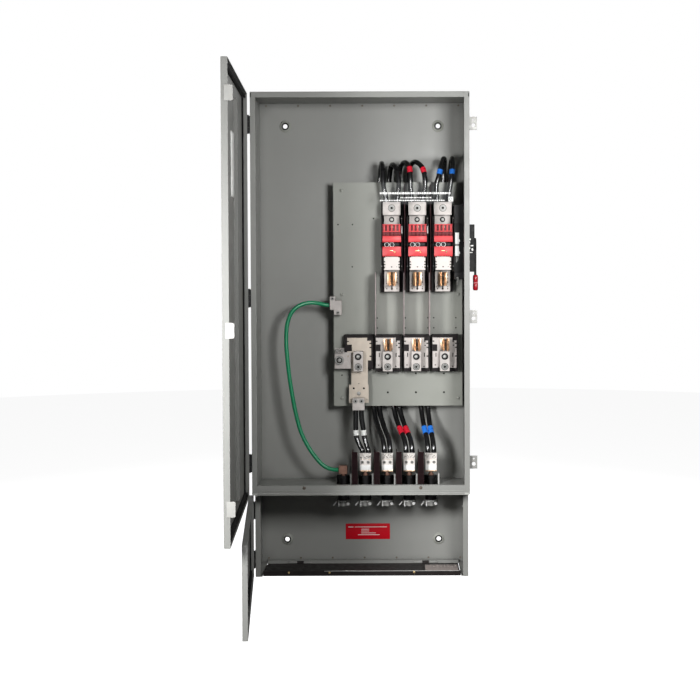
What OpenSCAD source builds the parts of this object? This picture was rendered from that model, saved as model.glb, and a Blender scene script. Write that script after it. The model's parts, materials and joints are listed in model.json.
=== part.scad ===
// Wall-mounted fused disconnect switch with quick-connect receptacles.
// X runs to the right, Y runs into the wall, Z runs up. The origin is the middle of the four wall
// holes, on the outer face of the back panel, so everything lies at negative Y. Millimetres.

/* [Enclosure] */
// Width over the side walls
box_w = 620; // [600:1:660]
// Height over the top and bottom panels
box_h = 1398; // [1380:1:1420]
// Depth of the upper compartment
box_d = 250; // [240:1:270]
// Height of the lower compartment
lower_h = 255; // [245:1:265]
// How far the lower compartment's front is set back
lower_setback = 76; // [70:1:80]
// Sheet metal thickness
sheet = 2; // [1.5:0.1:2.5]
// Width of the folded front lips
lip = 15; // [12:1:16]
// Spacing of the wall holes across
wall_hole_dx = 462; // [440:1:480]
// Spacing of the wall holes in height
wall_hole_dz = 1256; // [1240:1:1260]
// Radius of the wall holes
wall_hole_r = 7; // [5:0.5:8]

/* [Doors] */
// Depth of the upper door's folded edges
door_t = 16; // [15:1:20]
// Depth of the lower door's folded edges
lower_door_t = 14; // [12:1:16]
// Upper door's opening as stored, degrees
upper_open = 87.5; // [60:0.5:110]
// Lower door's opening as stored, degrees
lower_open = 85; // [60:0.5:110]

/* [Switch] */
// Middle of the first pole
pole_x0 = 90; // [86:1:94]
// Spacing of the three poles
pole_pitch = 75; // [73:1:77]
// Height of the blade shaft's axis
shaft_z = 268; // [267:0.5:269]
// Radius of the blade shaft
shaft_r = 8; // [7:0.5:8]
// Radial clearance of the shafts in their bearings
running = 0.05; // [0.02:0.01:0.09]
// Angle by which the blades stand open
blade_open = 55; // [45:1:60]

/* [Fuses] */
// Middle of the first lower fuse base
base_x0 = 77; // [75:1:79]
// Spacing of the lower fuse bases
base_pitch = 84; // [83:1:85]

/* [Receptacles] */
// Middle of the first receptacle
socket_x0 = -54; // [-56:1:-52]
// Spacing of the receptacles
socket_pitch = 64.3; // [63:0.1:66]
// Radius of the receptacles' sockets
socket_r = 9; // [8:0.5:10]

/* [Cables] */
// Radius of a black power cable
cable_r = 7.5; // [7:0.1:7.6]
// Radius of the green ground cable
ground_r = 6; // [5.5:0.1:6.2]

/* [Hidden] */
$fn = 48;

// Paint and material colours
paint = [0.62, 0.64, 0.61];
tin = [0.80, 0.79, 0.76];
black = [0.07, 0.07, 0.075];
copper = [0.72, 0.45, 0.25];
steel = [0.66, 0.67, 0.66];
chute_red = [0.55, 0.05, 0.07];
bright_red = [0.80, 0.12, 0.12];
cream = [0.90, 0.88, 0.82];

// Enclosure planes
x_out = box_w / 2;
x_in = x_out - sheet;
z_top = box_h / 2;
z_low = -box_h / 2;
z_shelf = z_low + lower_h;
y_front = -box_d;
y_low = -box_d + lower_setback;
upstand_h = 26;
bottom_lip_h = 17;

// Mounting pan
pan_x0 = -84;
pan_x1 = 300;
pan_z0 = -213;
pan_z1 = 454;
pan_y = -66;
pan_t = 2.5;
pan_edge = 12;
pan_notch = [14, 250];
pan_posts = [[-60, 430], [-60, 120], [-60, -190], [175, 430], [288, 120], [288, -190]];
pan_holes = [[-70, 329], [-27, 329], [36, 347], [-28, 203], [-60, -121]];

// Poles
poles = [for (i = [0:2]) pole_x0 + i * pole_pitch];
pole_half = 31;
shaft_y = -122;
base_y = pan_y - 18;
plate_y = -104;
lug_z = [355, 393];
lug_half = 26;
port_dx = 16;
port_y = -117;
port_r = 8.2;
blade_reach = 38;
blade_w = 6;
tongue_half = 2.5;
clip_plate_y = -106;

// Lower fuse bases
bases = [for (i = [0:2]) base_x0 + i * base_pitch];
neutral_x = -10;
load_y = -99;
load_port_r = 11;
load_lug_y = -127;
load_lug_h = 58;

// Receptacles
sockets = [for (i = [0:4]) socket_x0 + i * socket_pitch];
socket_y = -125;
twin_dx = 8.7;
twin_r = 8;

// Handle and mechanism
handle_reach = 134;
housing_t = 21;
lever_x0 = x_out + 22;
lever_x1 = x_out + 28;
grip_x0 = x_out + 18;
grip_x1 = x_out + 33;
mech_x0 = 272;
mech_x1 = 298;

// Hinges
hinge_x = -x_out - 5.5;
upper_hinge_y = y_front - 4;
lower_hinge_y = y_low - 4;
hinge_h = 50;
knuckle_r = 5;
pin_r = 2.5;
upper_hinges = [606, 116, -354];
lower_hinges = [-504, -648];
hasps = [610, 61, -355];

// Doors
door_x0 = -x_out + 1;
door_x1 = x_out + 1;
upper_door_z = [-447, 693];
lower_door_z = [-689, -457];
door_sheet = 1.5;
upper_door_y = y_front - 5 - door_t;
lower_door_y = y_low - 2 - lower_door_t;
seal_w = 11;
hinge_seal = 5.5;
upper_seal = 12;
lower_seal = 9;
stiffener_x = [-75, -5];
stiffener_z = [-400, 640];
latch_y = [-264, -243];
latch_half = 18.5;
latch_round = 4;

// Cable flap
flap_y = -26;
flap_z = z_low + 5;
flap_half = 288;

// Routes of the cables, through points in [x, y, z]
ground_route = [[-78, -82, 90], [-104, -83, 90], [-140, -95, 97], [-172, -103, 94], [-200, -110, 77],
  [-217, -113, 43], [-222, -115, -8], [-219, -117, -64], [-213, -118, -121], [-204, -119, -178],
  [-193, -120, -235], [-176, -121, -292], [-146, -123, -345], [-112, -125, -383],
  [-84, -125, -394], [-56, -125, -394]];
line_routes = [
  [[74, -117, 362], [73, -117, 405], [66, -117, 440], [64, -110, 482], [62, -88, 507], [60, -62, 508],
    [57, -42, 485], [54, -35, 450], [32, -35, -195], [36, -46, -238], [48, -78, -276], [61, -112, -306],
    [66, -125, -334], [66, -125, -352]],
  [[106, -117, 362], [107, -117, 405], [111, -117, 440], [108, -110, 480], [98, -88, 503],
    [90, -62, 504], [85, -42, 482], [82, -35, 450], [50, -35, -195], [54, -46, -238], [66, -78, -276],
    [79, -112, -306], [83, -125, -334], [83, -125, -352]],
  [[149, -117, 362], [148, -117, 405], [145, -117, 440], [145, -115, 472], [142, -106, 498],
    [130, -82, 512], [118, -56, 502], [113, -40, 478], [112, -35, 450], [92, -35, -195],
    [98, -46, -238], [111, -78, -276], [125, -112, -306], [130, -125, -334], [130, -125, -352]],
  [[181, -117, 362], [182, -117, 405], [188, -117, 440], [187, -115, 472], [180, -106, 496],
    [162, -84, 513], [148, -58, 506], [143, -40, 480], [142, -35, 450], [110, -35, -195],
    [116, -46, -238], [129, -78, -276], [143, -112, -306], [148, -125, -334], [148, -125, -352]],
  [[224, -117, 362], [223, -117, 405], [221, -117, 440], [229, -115, 470], [236, -106, 500],
    [244, -86, 522], [248, -62, 520], [248, -42, 494], [245, -35, 450], [176, -35, -195],
    [179, -46, -238], [185, -78, -276], [192, -112, -306], [194.5, -125, -334], [194.5, -125, -352]],
  [[256, -117, 362], [257, -117, 405], [262, -117, 440], [267, -115, 470], [270, -106, 500],
    [270, -86, 522], [269, -62, 520], [267, -42, 494], [263, -35, 450], [197, -35, -195],
    [199, -46, -238], [203, -78, -276], [209, -112, -306], [212, -125, -334], [212, -125, -352]]];
neutral_routes = [
  [[-18, -112, -206], [-18, -112, -240], [-18, -113, -275], [-15, -115, -302], [-5, -121, -326],
    [1.5, -125, -338], [1.5, -125, -352]],
  [[-1, -112, -206], [-1, -112, -240], [4, -113, -275], [8, -115, -302], [15, -121, -326],
    [19, -125, -338], [19, -125, -352]]];
// Tapes on stretches of the cables: [route, stretch, start, end], with start and end from 0 to 1
red_tape_places = [[line_routes[2], 3, 0.30, 0.80], [line_routes[3], 3, 0.30, 0.80],
  [line_routes[2], 11, 0.05, 0.50], [line_routes[3], 11, 0.05, 0.50]];
blue_tape_places = [[line_routes[4], 3, 0.15, 0.60], [line_routes[5], 3, 0.15, 0.60],
  [line_routes[4], 11, 0.05, 0.50], [line_routes[5], 11, 0.05, 0.50]];
white_tape_places = [[neutral_routes[0], 2, 0.15, 0.75], [neutral_routes[1], 2, 0.15, 0.75]];

// ---- shared shapes ----

// Box between two opposite corners
module block(a, b) {
  translate([min(a.x, b.x), min(a.y, b.y), min(a.z, b.z)])
    cube([abs(b.x - a.x), abs(b.y - a.y), abs(b.z - a.z)]);
}

// Cylinder along X from x0 to x1, around [y, z]
module rod_x(x0, x1, y, z, r) {
  translate([x0, y, z]) rotate([0, 90, 0]) cylinder(h = x1 - x0, r = r);
}

// Cylinder along Y from y0 to y1, around [x, z]
module rod_y(y0, y1, x, z, r) {
  translate([x, y1, z]) rotate([90, 0, 0]) cylinder(h = y1 - y0, r = r);
}

// Cylinder along Z from z0 to z1, around [x, y]
module rod_z(z0, z1, x, y, r) {
  translate([x, y, z0]) cylinder(h = z1 - z0, r = r);
}

// Hexagon screw head standing on the face at y, with its washer
module hex_head(x, y, z, across, h) {
  rod_y(y - 1, y, x, z, across * 0.62);
  translate([x, y - 1, z]) rotate([90, 0, 0]) cylinder(h = h, d = across / cos(30), $fn = 6);
}

// Round screw head with a hexagon socket, standing on the face at y
module socket_head(x, y, z, r, h) {
  difference() {
    rod_y(y - h, y, x, z, r);
    translate([x, y - h + 3, z]) rotate([90, 0, 0]) cylinder(h = 4, r = r * 0.45, $fn = 6);
  }
}

// Ring of points around p, square to direction t, with one axis near ref
function unit(v) = v / norm(v);
function ring(p, t, ref, r, n) =
  let (u = unit(cross(ref, t)), w = cross(unit(t), u))
  [for (k = [0:n - 1]) p + r * (cos(360 * k / n) * u + sin(360 * k / n) * w)];
function heading(q, i) = unit(q[min(i + 1, len(q) - 1)] - q[max(i - 1, 0)]);

// Closed tube of n sides swept along the points q
module tube(q, r, ref, n = 8) {
  m = len(q);
  points = [for (i = [0:m - 1]) each ring(q[i], heading(q, i), ref, r, n)];
  sides = [for (i = [0:m - 2], k = [0:n - 1])
    [i * n + k, i * n + (k + 1) % n, (i + 1) * n + (k + 1) % n, (i + 1) * n + k]];
  ends = [[for (k = [n - 1:-1:0]) k], [for (k = [0:n - 1]) (m - 1) * n + k]];
  polyhedron(points, concat(ends, sides), convexity = 4);
}

// Sleeve wound around a straight stretch of a cable, as [route, stretch, start, end]
module sleeve(place, r) {
  p = place[0][place[1]];
  q = place[0][place[1] + 1];
  t = unit(q - p);
  span = norm(q - p) * (place[3] - place[2]);
  translate(p + (q - p) * place[2])
    rotate([0, acos(t.z), atan2(t.y, t.x)])
      difference() {
        cylinder(h = span, r = r + 0.9);
        translate([0, 0, -1]) cylinder(h = span + 2, r = r + 0.1);
      }
}

// Turns what is drawn as closed around a door's hinge line, to the angle at which it stands open
module hung(angle, y) {
  translate([hinge_x, y, 0]) rotate([0, 0, -angle]) translate([-hinge_x, -y, 0]) children();
}

// ---- enclosure ----

module back_panel() {
  color(paint) difference() {
    union() {
      block([-x_in, -sheet, z_low], [x_in, 0, z_top - sheet]);
      for (x = [-1, 1], z = [-1, 1])
        rod_y(-sheet - 2.5, -sheet, x * wall_hole_dx / 2, z * wall_hole_dz / 2, 15);
    }
    for (x = [-1, 1], z = [-1, 1])
      rod_y(-sheet - 4, 1, x * wall_hole_dx / 2, z * wall_hole_dz / 2, wall_hole_r);
  }
}

// One side wall with its folded lips; side is -1 for left and 1 for right
module side_wall(side) {
  block([side * x_in, y_front, z_shelf], [side * x_out, 0, z_top]);
  block([side * x_in, y_low, z_low], [side * x_out, 0, z_shelf]);
  block([side * (x_out - lip), y_front, z_shelf], [side * x_out, y_front + sheet, z_top]);
  block([side * (x_out - lip), y_low, z_low], [side * x_out, y_low + sheet, z_shelf - sheet]);
}

module left_wall() {
  color(paint) side_wall(-1);
}

module right_wall() {
  color(paint) difference() {
    side_wall(1);
    rod_x(x_in - 1, x_out + 1, shaft_y, shaft_z, shaft_r + 4);
  }
}

module top_panel() {
  color(paint) {
    block([-x_in, y_front + sheet, z_top - sheet], [x_in, 0, z_top]);
    block([-x_out + lip, y_front, z_top - lip - 1], [x_out - lip, y_front + sheet, z_top]);
  }
}

module divider_shelf() {
  color(paint) difference() {
    union() {
      block([-x_in, y_front + sheet, z_shelf], [x_in, -sheet, z_shelf + sheet]);
      block([-x_out + lip, y_front, z_shelf], [x_out - lip, y_front + sheet, z_shelf + upstand_h]);
      block([-x_out + lip, y_front - 1.5, z_shelf], [x_out - lip, y_front, z_shelf + 4]);
      block([-x_out + lip, y_front + sheet, z_shelf + upstand_h - sheet],
        [x_out - lip, y_front + 14, z_shelf + upstand_h]);
    }
    for (x = sockets) rod_z(z_shelf - 1, z_shelf + sheet + 1, x, socket_y, 15.5);
  }
}

// Bottom rails, with the fixed knuckles of the flap's hinges
module bottom_frame() {
  color(paint) {
    for (side = [-1, 1])
      block([side * 290, y_low + sheet, z_low], [side * x_in, -sheet, z_low + sheet]);
    block([-290, -20, z_low], [290, -sheet, z_low + 9]);
    for (c = [-190, 190], end = [-1, 1]) difference() {
      union() {
        rod_x(c + end * 21 - 10, c + end * 21 + 10, flap_y, flap_z, knuckle_r);
        block([c + end * 21 - 10, flap_y, flap_z - 3], [c + end * 21 + 10, -19, flap_z + 3]);
      }
      rod_x(c - 40, c + 40, flap_y, flap_z, pin_r + running);
    }
  }
}

module hasp_tabs() {
  color(steel) for (z = hasps) {
    difference() {
      block([x_out, -236, z - 18.5], [x_out + 22, -233, z + 18.5]);
      rod_y(-240, -230, x_out + 12, z + 10, 2.6);
      rod_y(-240, -230, x_out + 12, z - 5, 5.5);
    }
    block([x_out, -233, z - 18.5], [x_out + 2, -212, z + 18.5]);
  }
}

// Fixed half of a three-knuckle hinge, with its loose pin
module wall_hinge(y, z) {
  third = hinge_h / 3;
  difference() {
    union() {
      block([-x_out - 2, y + 4, z - hinge_h / 2], [-x_out, y + 29, z + hinge_h / 2]);
      for (end = [-1, 1]) {
        rod_z(z + end * third - third / 2 + 0.3, z + end * third + third / 2 - 0.3, hinge_x, y, knuckle_r);
        block([hinge_x, y + 3, z + end * third - third / 2 + 0.3],
          [-x_out, y + 5, z + end * third + third / 2 - 0.3]);
      }
    }
    rod_z(z - hinge_h, z + hinge_h, hinge_x, y, pin_r + running);
  }
  rod_z(z - hinge_h / 2 - 1, z + hinge_h / 2 + 0.1, hinge_x, y, pin_r);
  rod_z(z + hinge_h / 2 + 0.05, z + hinge_h / 2 + 2, hinge_x, y, pin_r + 1.5);
}

module wall_hinge_leaves() {
  color(black) {
    for (z = upper_hinges) wall_hinge(upper_hinge_y, z);
    for (z = lower_hinges) wall_hinge(lower_hinge_y, z);
  }
}

module mounting_pan() {
  notch_z = pan_z1 - pan_notch[1];
  notch_x = pan_x1 - pan_notch[0];
  color(paint) difference() {
    union() {
      block([pan_x0, pan_y, pan_z0], [pan_x1, pan_y + pan_t, notch_z]);
      block([pan_x0, pan_y, notch_z], [notch_x, pan_y + pan_t, pan_z1]);
      block([pan_x0, pan_y, pan_z0], [pan_x0 + pan_t, pan_y + pan_edge, pan_z1]);
      block([pan_x0, pan_y, pan_z1 - pan_t], [notch_x, pan_y + pan_edge, pan_z1]);
      block([pan_x0, pan_y, pan_z0], [pan_x1, pan_y + pan_edge, pan_z0 + pan_t]);
    }
    for (p = pan_holes) rod_y(pan_y - 1, pan_y + pan_t + 1, p[0], p[1], 2.2);
    for (x = bases, z = [-116, -173]) rod_y(pan_y - 1, pan_y + pan_t + 1, x, z, 3);
    for (x = [46, 130, 197, 215, 281], z = [20, 50]) rod_y(pan_y - 1, pan_y + pan_t + 1, x, z, 2);
  }
}

module pan_standoffs() {
  color(steel) for (p = pan_posts) rod_y(pan_y + pan_t, -sheet, p[0], p[1], 6);
}

module panel_screws() {
  color(steel) {
    for (p = pan_posts) socket_head(p[0], pan_y, p[1], 5, 3);
    for (x = [-162, 170]) socket_head(x, y_front, z_shelf + 19, 4, 3);
  }
}

// ---- poles ----

// Moulded base of a pole: back plate, raised seats and side walls that carry the blade shaft
module pole_bases() {
  color(black) for (x = poles) difference() {
    union() {
      block([x - pole_half, base_y, 128], [x + pole_half, pan_y, 398]);
      block([x - 20, plate_y + 5, 298], [x + 20, base_y, 396]);
      block([x - 20, clip_plate_y + 5, 130], [x + 20, base_y, 230]);
      for (side = [-1, 1])
        block([x + side * (pole_half - 3), -150, 190], [x + side * pole_half, base_y, 350]);
    }
    rod_x(x - pole_half - 1, x + pole_half + 1, shaft_y, shaft_z, shaft_r + running);
  }
}

module line_contacts() {
  color(tin) for (x = poles) {
    block([x - 23, plate_y, 296], [x + 23, plate_y + 5, 393]);
    block([x - tongue_half, -133, 292], [x + tongue_half, plate_y + 5, 312]);
  }
}

// Line lugs above with two ports each, and single-port load and neutral lugs below
module cable_lugs() {
  color(tin) {
    for (x = poles) difference() {
      block([x - lug_half, plate_y - 26, lug_z[0]], [x + lug_half, plate_y, lug_z[1]]);
      for (side = [-1, 1]) rod_z(lug_z[0] - 1, lug_z[1] + 1, x + side * port_dx, port_y, port_r);
    }
    for (x = concat([neutral_x], bases)) difference() {
      block([x - 14, load_lug_y, -104], [x + 14, load_y, -104 + load_lug_h]);
      rod_z(-105, -103 + load_lug_h, x, (load_lug_y + load_y) / 2, load_port_r);
    }
  }
}

module lug_screws() {
  color(steel) {
    for (x = poles) socket_head(x, plate_y - 26, 375, 8, 4);
    for (x = concat([neutral_x], bases)) socket_head(x, load_lug_y, -91, 8, 4);
    for (x = [neutral_x - 8, neutral_x + 9]) socket_head(x, -125, -192, 4.5, 3);
    for (i = [1:4], side = [-1, 1]) socket_head(sockets[i] + side * 8.5, -142, -370, 3.5, 2);
    for (p = [[-86, 104], [-70, 74]]) socket_head(p[0], -98, p[1], 4.5, 3);
  }
}

module terminal_bolts() {
  color(steel) {
    for (x = poles) hex_head(x, plate_y, 342, 13, 6);
    for (x = concat([neutral_x], bases)) hex_head(x, load_lug_y, -61, 14, 6);
    hex_head(-9, load_y, -172, 9, 4);
  }
}

// Ribbed arc chute over the line contact of each pole
module arc_chutes() {
  color(chute_red) for (x = poles) {
    block([x - 27, -158, 293.2], [x + 27, -155, 327]);
    for (side = [-1, 1]) block([x + side * 24, -156, 293.2], [x + side * 27, base_y - 1, 327]);
    block([x - 25, -156, 324], [x + 25, plate_y - 4, 327]);
    for (dx = [-22, -12.5, 0, 12.5, 22]) block([x + dx - 2, -161, 295], [x + dx + 2, -157, 326]);
  }
}

// Smooth covers above and below the blade shaft
module chute_covers() {
  color(bright_red) for (x = poles, z = [[233, 262], [275, 293]]) difference() {
    block([x - 27, -161, z[0]], [x + 27, base_y - 1, z[1]]);
    block([x - 24, -158, z[0] - 1], [x + 24, base_y, z[1] + 1]);
    rod_x(x - 30, x + 30, shaft_y, shaft_z, shaft_r + 1.5);
  }
}

module load_blocks() {
  color(cream) for (x = poles) difference() {
    block([x - 23, -151, 194], [x + 23, clip_plate_y, 233]);
    block([x - 8, -138, 218], [x + 8, clip_plate_y + 1, 234]);
    for (side = [-1, 1], z = [203, 217])
      block([x + side * 19, -152, z - 1.5], [x + side * 24, -140, z + 1.5]);
    rod_y(-152, -147, x, 203, 1.8);
  }
}

module load_contacts() {
  color(tin) for (x = poles) {
    difference() {
      block([x - 22, clip_plate_y, 130], [x + 22, clip_plate_y + 5, 230]);
      rod_y(clip_plate_y - 1, clip_plate_y + 6, x, 138, 3.2);
      for (p = [[-15, 138], [15, 138], [15, 158], [15, 178]])
        rod_y(clip_plate_y - 1, clip_plate_y + 6, x + p[0], p[1], 1.8);
    }
    block([x - tongue_half, -133, 222], [x + tongue_half, clip_plate_y + 5, 244]);
  }
}

// Pair of sprung jaws for a knife-blade fuse, standing on the face at y, between heights z0 and z1
module jaw_pair(x, y, z0, z1) {
  for (side = [-1, 1]) {
    block([x + side * 4, y - 30, z0], [x + side * 6.5, y, z1]);
    block([x + side * 6.5, y - 3, z0 + 3], [x + side * 12, y, z1 - 3]);
    translate([x + side * 5.25, y - 30, z0])
      rotate([0, 0, -side * 28]) block([-1.25, -7, 0], [1.25, 0.5, z1 - z0]);
  }
}

module fuse_clips() {
  color(copper) {
    for (x = poles) jaw_pair(x, clip_plate_y, 147, 188);
    for (x = bases) jaw_pair(x + 2, load_y, -44, -9);
  }
}

module pole_barriers() {
  color([0.20, 0.10, 0.10]) for (i = [0, 1]) {
    x = poles[i] + pole_pitch / 2;
    difference() {
      block([x - 1, -176, 136], [x + 1, pan_y, 442]);
      rod_x(x - 3, x + 3, shaft_y, shaft_z, shaft_r + 2);
    }
  }
}

module fuse_barriers() {
  color([0.75, 0.70, 0.70]) for (x = [42, 125, 200]) block([x - 1, -150, 3], [x + 1, pan_y, 186]);
}

module line_shield() {
  color([0.85, 0.9, 0.92, 0.4]) {
    block([56, -179, 384], [268, -177, 446]);
    block([56, -177, 444], [268, -160, 446]);
  }
}

// ---- fuse bases, neutral and ground ----

module insulator_bases() {
  color(black) {
    for (x = bases) block([x - 37, load_y + 3, -108], [x + 40, pan_y, 2]);
    block([-51, load_y + 3, -100], [34, pan_y, 2]);
    block([-28, load_y + 3, -192], [10, pan_y, -152]);
  }
}

// Tinned plate with its edge notches; x0 and x1 are its sides
module notched_plate(x0, x1, z0) {
  difference() {
    block([x0, load_y, z0], [x1, load_y + 3, -7]);
    block([x0 - 1, load_y - 1, -47], [x0 + 14, load_y + 4, -27]);
    block([x0 - 1, load_y - 1, -19], [x0 + 5, load_y + 4, -16]);
    block([x1 - 12, load_y - 1, -16], [x1 + 1, load_y + 4, -6]);
    for (z = [-24, -36, -62]) block([x1 - 5, load_y - 1, z - 2], [x1 + 1, load_y + 4, z + 2]);
  }
}

module load_plates() {
  color(tin) for (x = bases) notched_plate(x - 35, x + 36, -97);
}

module neutral_bar() {
  color(tin) difference() {
    union() {
      notched_plate(-43, 28, -74);
      block([-31, load_y, -148], [18, load_y + 3, -70]);
      block([-38, load_y, -200], [20, load_y + 3, -146]);
    }
    for (p = [[-24, -157, 3], [6, -157, 3], [-9, -143, 1.8], [-33, -190, 1.5], [15, -190, 1.5]])
      rod_y(load_y - 1, load_y + 4, p[0], p[1], p[2]);
  }
}

module neutral_lug() {
  color(tin) difference() {
    block([-27, -125, -219], [8, load_y, -184]);
    for (x = [-18, -1]) rod_z(-220, -196, x, -112, 7.9);
  }
}

module bonding_strap() {
  color(tin) {
    difference() {
      block([-80, load_y - 3, -98], [-31, load_y, -50]);
      for (p = [[-68, -84], [-40, -62]]) rod_y(load_y - 5, load_y + 1, p[0], p[1], 3);
    }
    for (x = [-72, -58]) difference() {
      block([x - 6, load_y - 15, -50], [x + 6, load_y, -37]);
      rod_z(-51, -36, x, load_y - 8, 3.5);
    }
    block([-76, load_y, -78], [-56, pan_y, -56]);
  }
}

module ground_lug() {
  color(tin) difference() {
    union() {
      block([-94, -98, 76], [-59, pan_y, 104]);
      block([-94, -98, 104], [-78, pan_y, 115]);
      block([-82, -98, 61], [-59, pan_y, 76]);
    }
    rod_x(-95, -68, -82, 90, ground_r + 0.7);
  }
}

// ---- receptacles ----

module receptacles() {
  color(black) for (x = sockets) difference() {
    union() {
      rod_z(-490, z_shelf, x, socket_y, 17);
      rod_z(z_shelf - 1, -436, x, socket_y, 15);
      block([x - 19, socket_y - 19, z_shelf + sheet], [x + 19, socket_y + 19, -437]);
      rod_z(-438, -418, x, socket_y, 13);
      translate([x, socket_y, -418]) cylinder(h = 7, r = 15, $fn = 6);
    }
    rod_z(-491, -450, x, socket_y, socket_r);
  }
}

module receptacle_rings() {
  color(tin) for (x = sockets) difference() {
    union() {
      rod_z(-498, -482, x, socket_y, 20);
      block([x - 4, socket_y - 26, -498], [x + 4, socket_y - 18, -484]);
    }
    rod_z(-499, -481, x, socket_y, 17);
  }
}

module receptacle_studs() {
  color(copper) {
    for (i = [1:4]) {
      rod_z(-411, -397, sockets[i], socket_y, 5);
      block([sockets[i] - 16.5, -140, -397], [sockets[i] + 16.5, -110, -394]);
    }
    rod_z(-411, -405, sockets[0], socket_y, 5);
    difference() {
      block([-68, -137, -405], [-43, -113, -382]);
      rod_x(-69, -50, socket_y, -394, ground_r + 0.7);
    }
  }
}

module receptacle_lugs() {
  color(tin) for (i = [1:4]) {
    x = sockets[i];
    block([x - 16.5, -142, -394], [x + 16.5, -108, -362]);
    difference() {
      block([x - 17.5, -140, -362], [x + 17.5, -110, -344]);
      for (side = [-1, 1]) rod_z(-356, -343, x + side * twin_dx, socket_y, twin_r);
    }
  }
}

module receptacle_barriers() {
  color([0.22, 0.08, 0.08]) for (i = [0:3]) {
    x = sockets[i] + 26;
    translate([x, 0, 0]) rotate([90, 0, 90])
      linear_extrude(2.5)
        polygon([[-172, -441], [-80, -441], [-80, -372], [-112, -335], [-172, -335]]);
    block([x, -174, -441], [x + 16, -171, -335]);
  }
}

module barrier_posts() {
  color(steel) for (x = sockets) {
    block([x + 19.5, -152, z_shelf + sheet], [x + 24, -149, -402]);
    block([x + 19.5, -150, z_shelf + sheet], [x + 24, -130, z_shelf + sheet + 3]);
  }
}

// ---- cables and their tapes ----

module ground_wire() {
  color([0.0, 0.45, 0.28]) tube(ground_route, ground_r, [0, 1, 0]);
}

module line_cables() {
  color(black) for (route = line_routes) tube(route, cable_r, [1, 0, 0]);
}

module neutral_cables() {
  color(black) for (route = neutral_routes) tube(route, cable_r, [1, 0, 0]);
}

module red_tapes() {
  color([0.75, 0.05, 0.12]) for (place = red_tape_places) sleeve(place, cable_r);
}

module blue_tapes() {
  color([0.10, 0.35, 0.80]) for (place = blue_tape_places) sleeve(place, cable_r);
}

module white_tapes() {
  color([0.92, 0.92, 0.90]) for (place = white_tape_places) sleeve(place, cable_r);
}

module label_plate() {
  color([0.75, 0.05, 0.10]) block([-53, -3, -629], [82, -sheet, -581]);
}

// ---- operating mechanism ----

module mechanism_frame() {
  color(black) difference() {
    union() {
      block([mech_x0, -160, 166], [mech_x0 + 3, pan_y, 383]);
      block([mech_x1 - 3, -160, 166], [mech_x1, pan_y, 383]);
      block([mech_x0, -163, 166], [mech_x1, -160, 383]);
    }
    rod_x(mech_x0 - 1, mech_x1 + 1, shaft_y, shaft_z, shaft_r + running);
  }
}

module handle_plate() {
  color(black) difference() {
    union() {
      block([x_out, shaft_y - 30, 188], [x_out + housing_t, shaft_y + 30, 326]);
      rod_x(x_in - 6, x_out + 1, shaft_y, shaft_z, shaft_r + 3.8);
    }
    rod_x(x_in - 8, x_out + housing_t + 1, shaft_y, shaft_z, shaft_r + running);
  }
}

// Flat bar of the lever, from the hub into the grip
module lever_bar() {
  block([lever_x0, shaft_y - 9, shaft_z - handle_reach + 14], [lever_x1, shaft_y + 9, shaft_z]);
}

// Lever with its hub and spindle, pointing down
module handle_lever() {
  color(black) {
    rod_x(mech_x1 - 11, lever_x0 + 1, shaft_y, shaft_z, shaft_r);
    rod_x(lever_x0, lever_x1, shaft_y, shaft_z, 19);
    lever_bar();
  }
}

module handle_grip() {
  z = shaft_z - handle_reach;
  color(chute_red) difference() {
    hull()
      for (dy = [-9, 9], dz = [5, 39]) {
        rod_x(grip_x0, grip_x1, shaft_y + dy, z + dz, 4, $fn = 32);
        rod_x(grip_x0 + 2, grip_x1 - 2, shaft_y + dy, z + dz, 6, $fn = 32);
      }
    lever_bar();
  }
}

// One blade bar of a pole, about the shaft's axis, from x0 to x1, grown by gap
module blade_bar(x, x0, x1, reach, gap) {
  translate([x, shaft_y, shaft_z]) rotate([blade_open, 0, 0]) {
    block([x0 - gap, -blade_w - gap, -reach], [x1 + gap, blade_w + gap, reach]);
    for (end = [-1, 1]) rod_x(x0 - gap, x1 + gap, 0, end * reach, blade_w + gap);
  }
}

// Insulated shaft with a drum at each pole, slotted for the blades
module cross_shaft() {
  color(black) difference() {
    union() {
      rod_x(poles[0] - pole_half - 2, mech_x1 - 13, shaft_y, shaft_z, shaft_r);
      for (x = poles) rod_x(x - 12, x + 12, shaft_y, shaft_z, 14);
    }
    for (x = poles, side = [-1, 1])
      blade_bar(x, side * 5 - 2, side * 5 + 2, blade_reach, 0.05);
  }
}

module moving_blades() {
  color(copper) for (x = poles, side = [-1, 1])
    blade_bar(x, side * 5 - 2, side * 5 + 2, blade_reach - blade_w, 0);
}

// ---- doors ----

// Shallow pan from y back to y + t, open towards the enclosure
module door_pan(y, t, z) {
  difference() {
    block([door_x0, y, z[0]], [door_x1, y + t, z[1]]);
    block([door_x0 + door_sheet, y + door_sheet, z[0] + door_sheet],
      [door_x1 - door_sheet, y + t + 1, z[1] - door_sheet]);
  }
}

// Seal inside the folded edges of a door
module door_gasket(y, t, z) {
  inset = door_sheet + 0.5;
  difference() {
    block([door_x0 + inset, y + door_sheet, z[0] + inset], [door_x1 - inset, y + t, z[1] - inset]);
    block([door_x0 + inset + seal_w, y, z[0] + inset + seal_w],
      [door_x1 - inset - seal_w, y + t + 1, z[1] - inset - seal_w]);
    block([door_x0, y + hinge_seal, z[0] + inset + seal_w],
      [door_x0 + inset + seal_w + 1, y + t + 1, z[1] - inset - seal_w]);
  }
}

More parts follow.
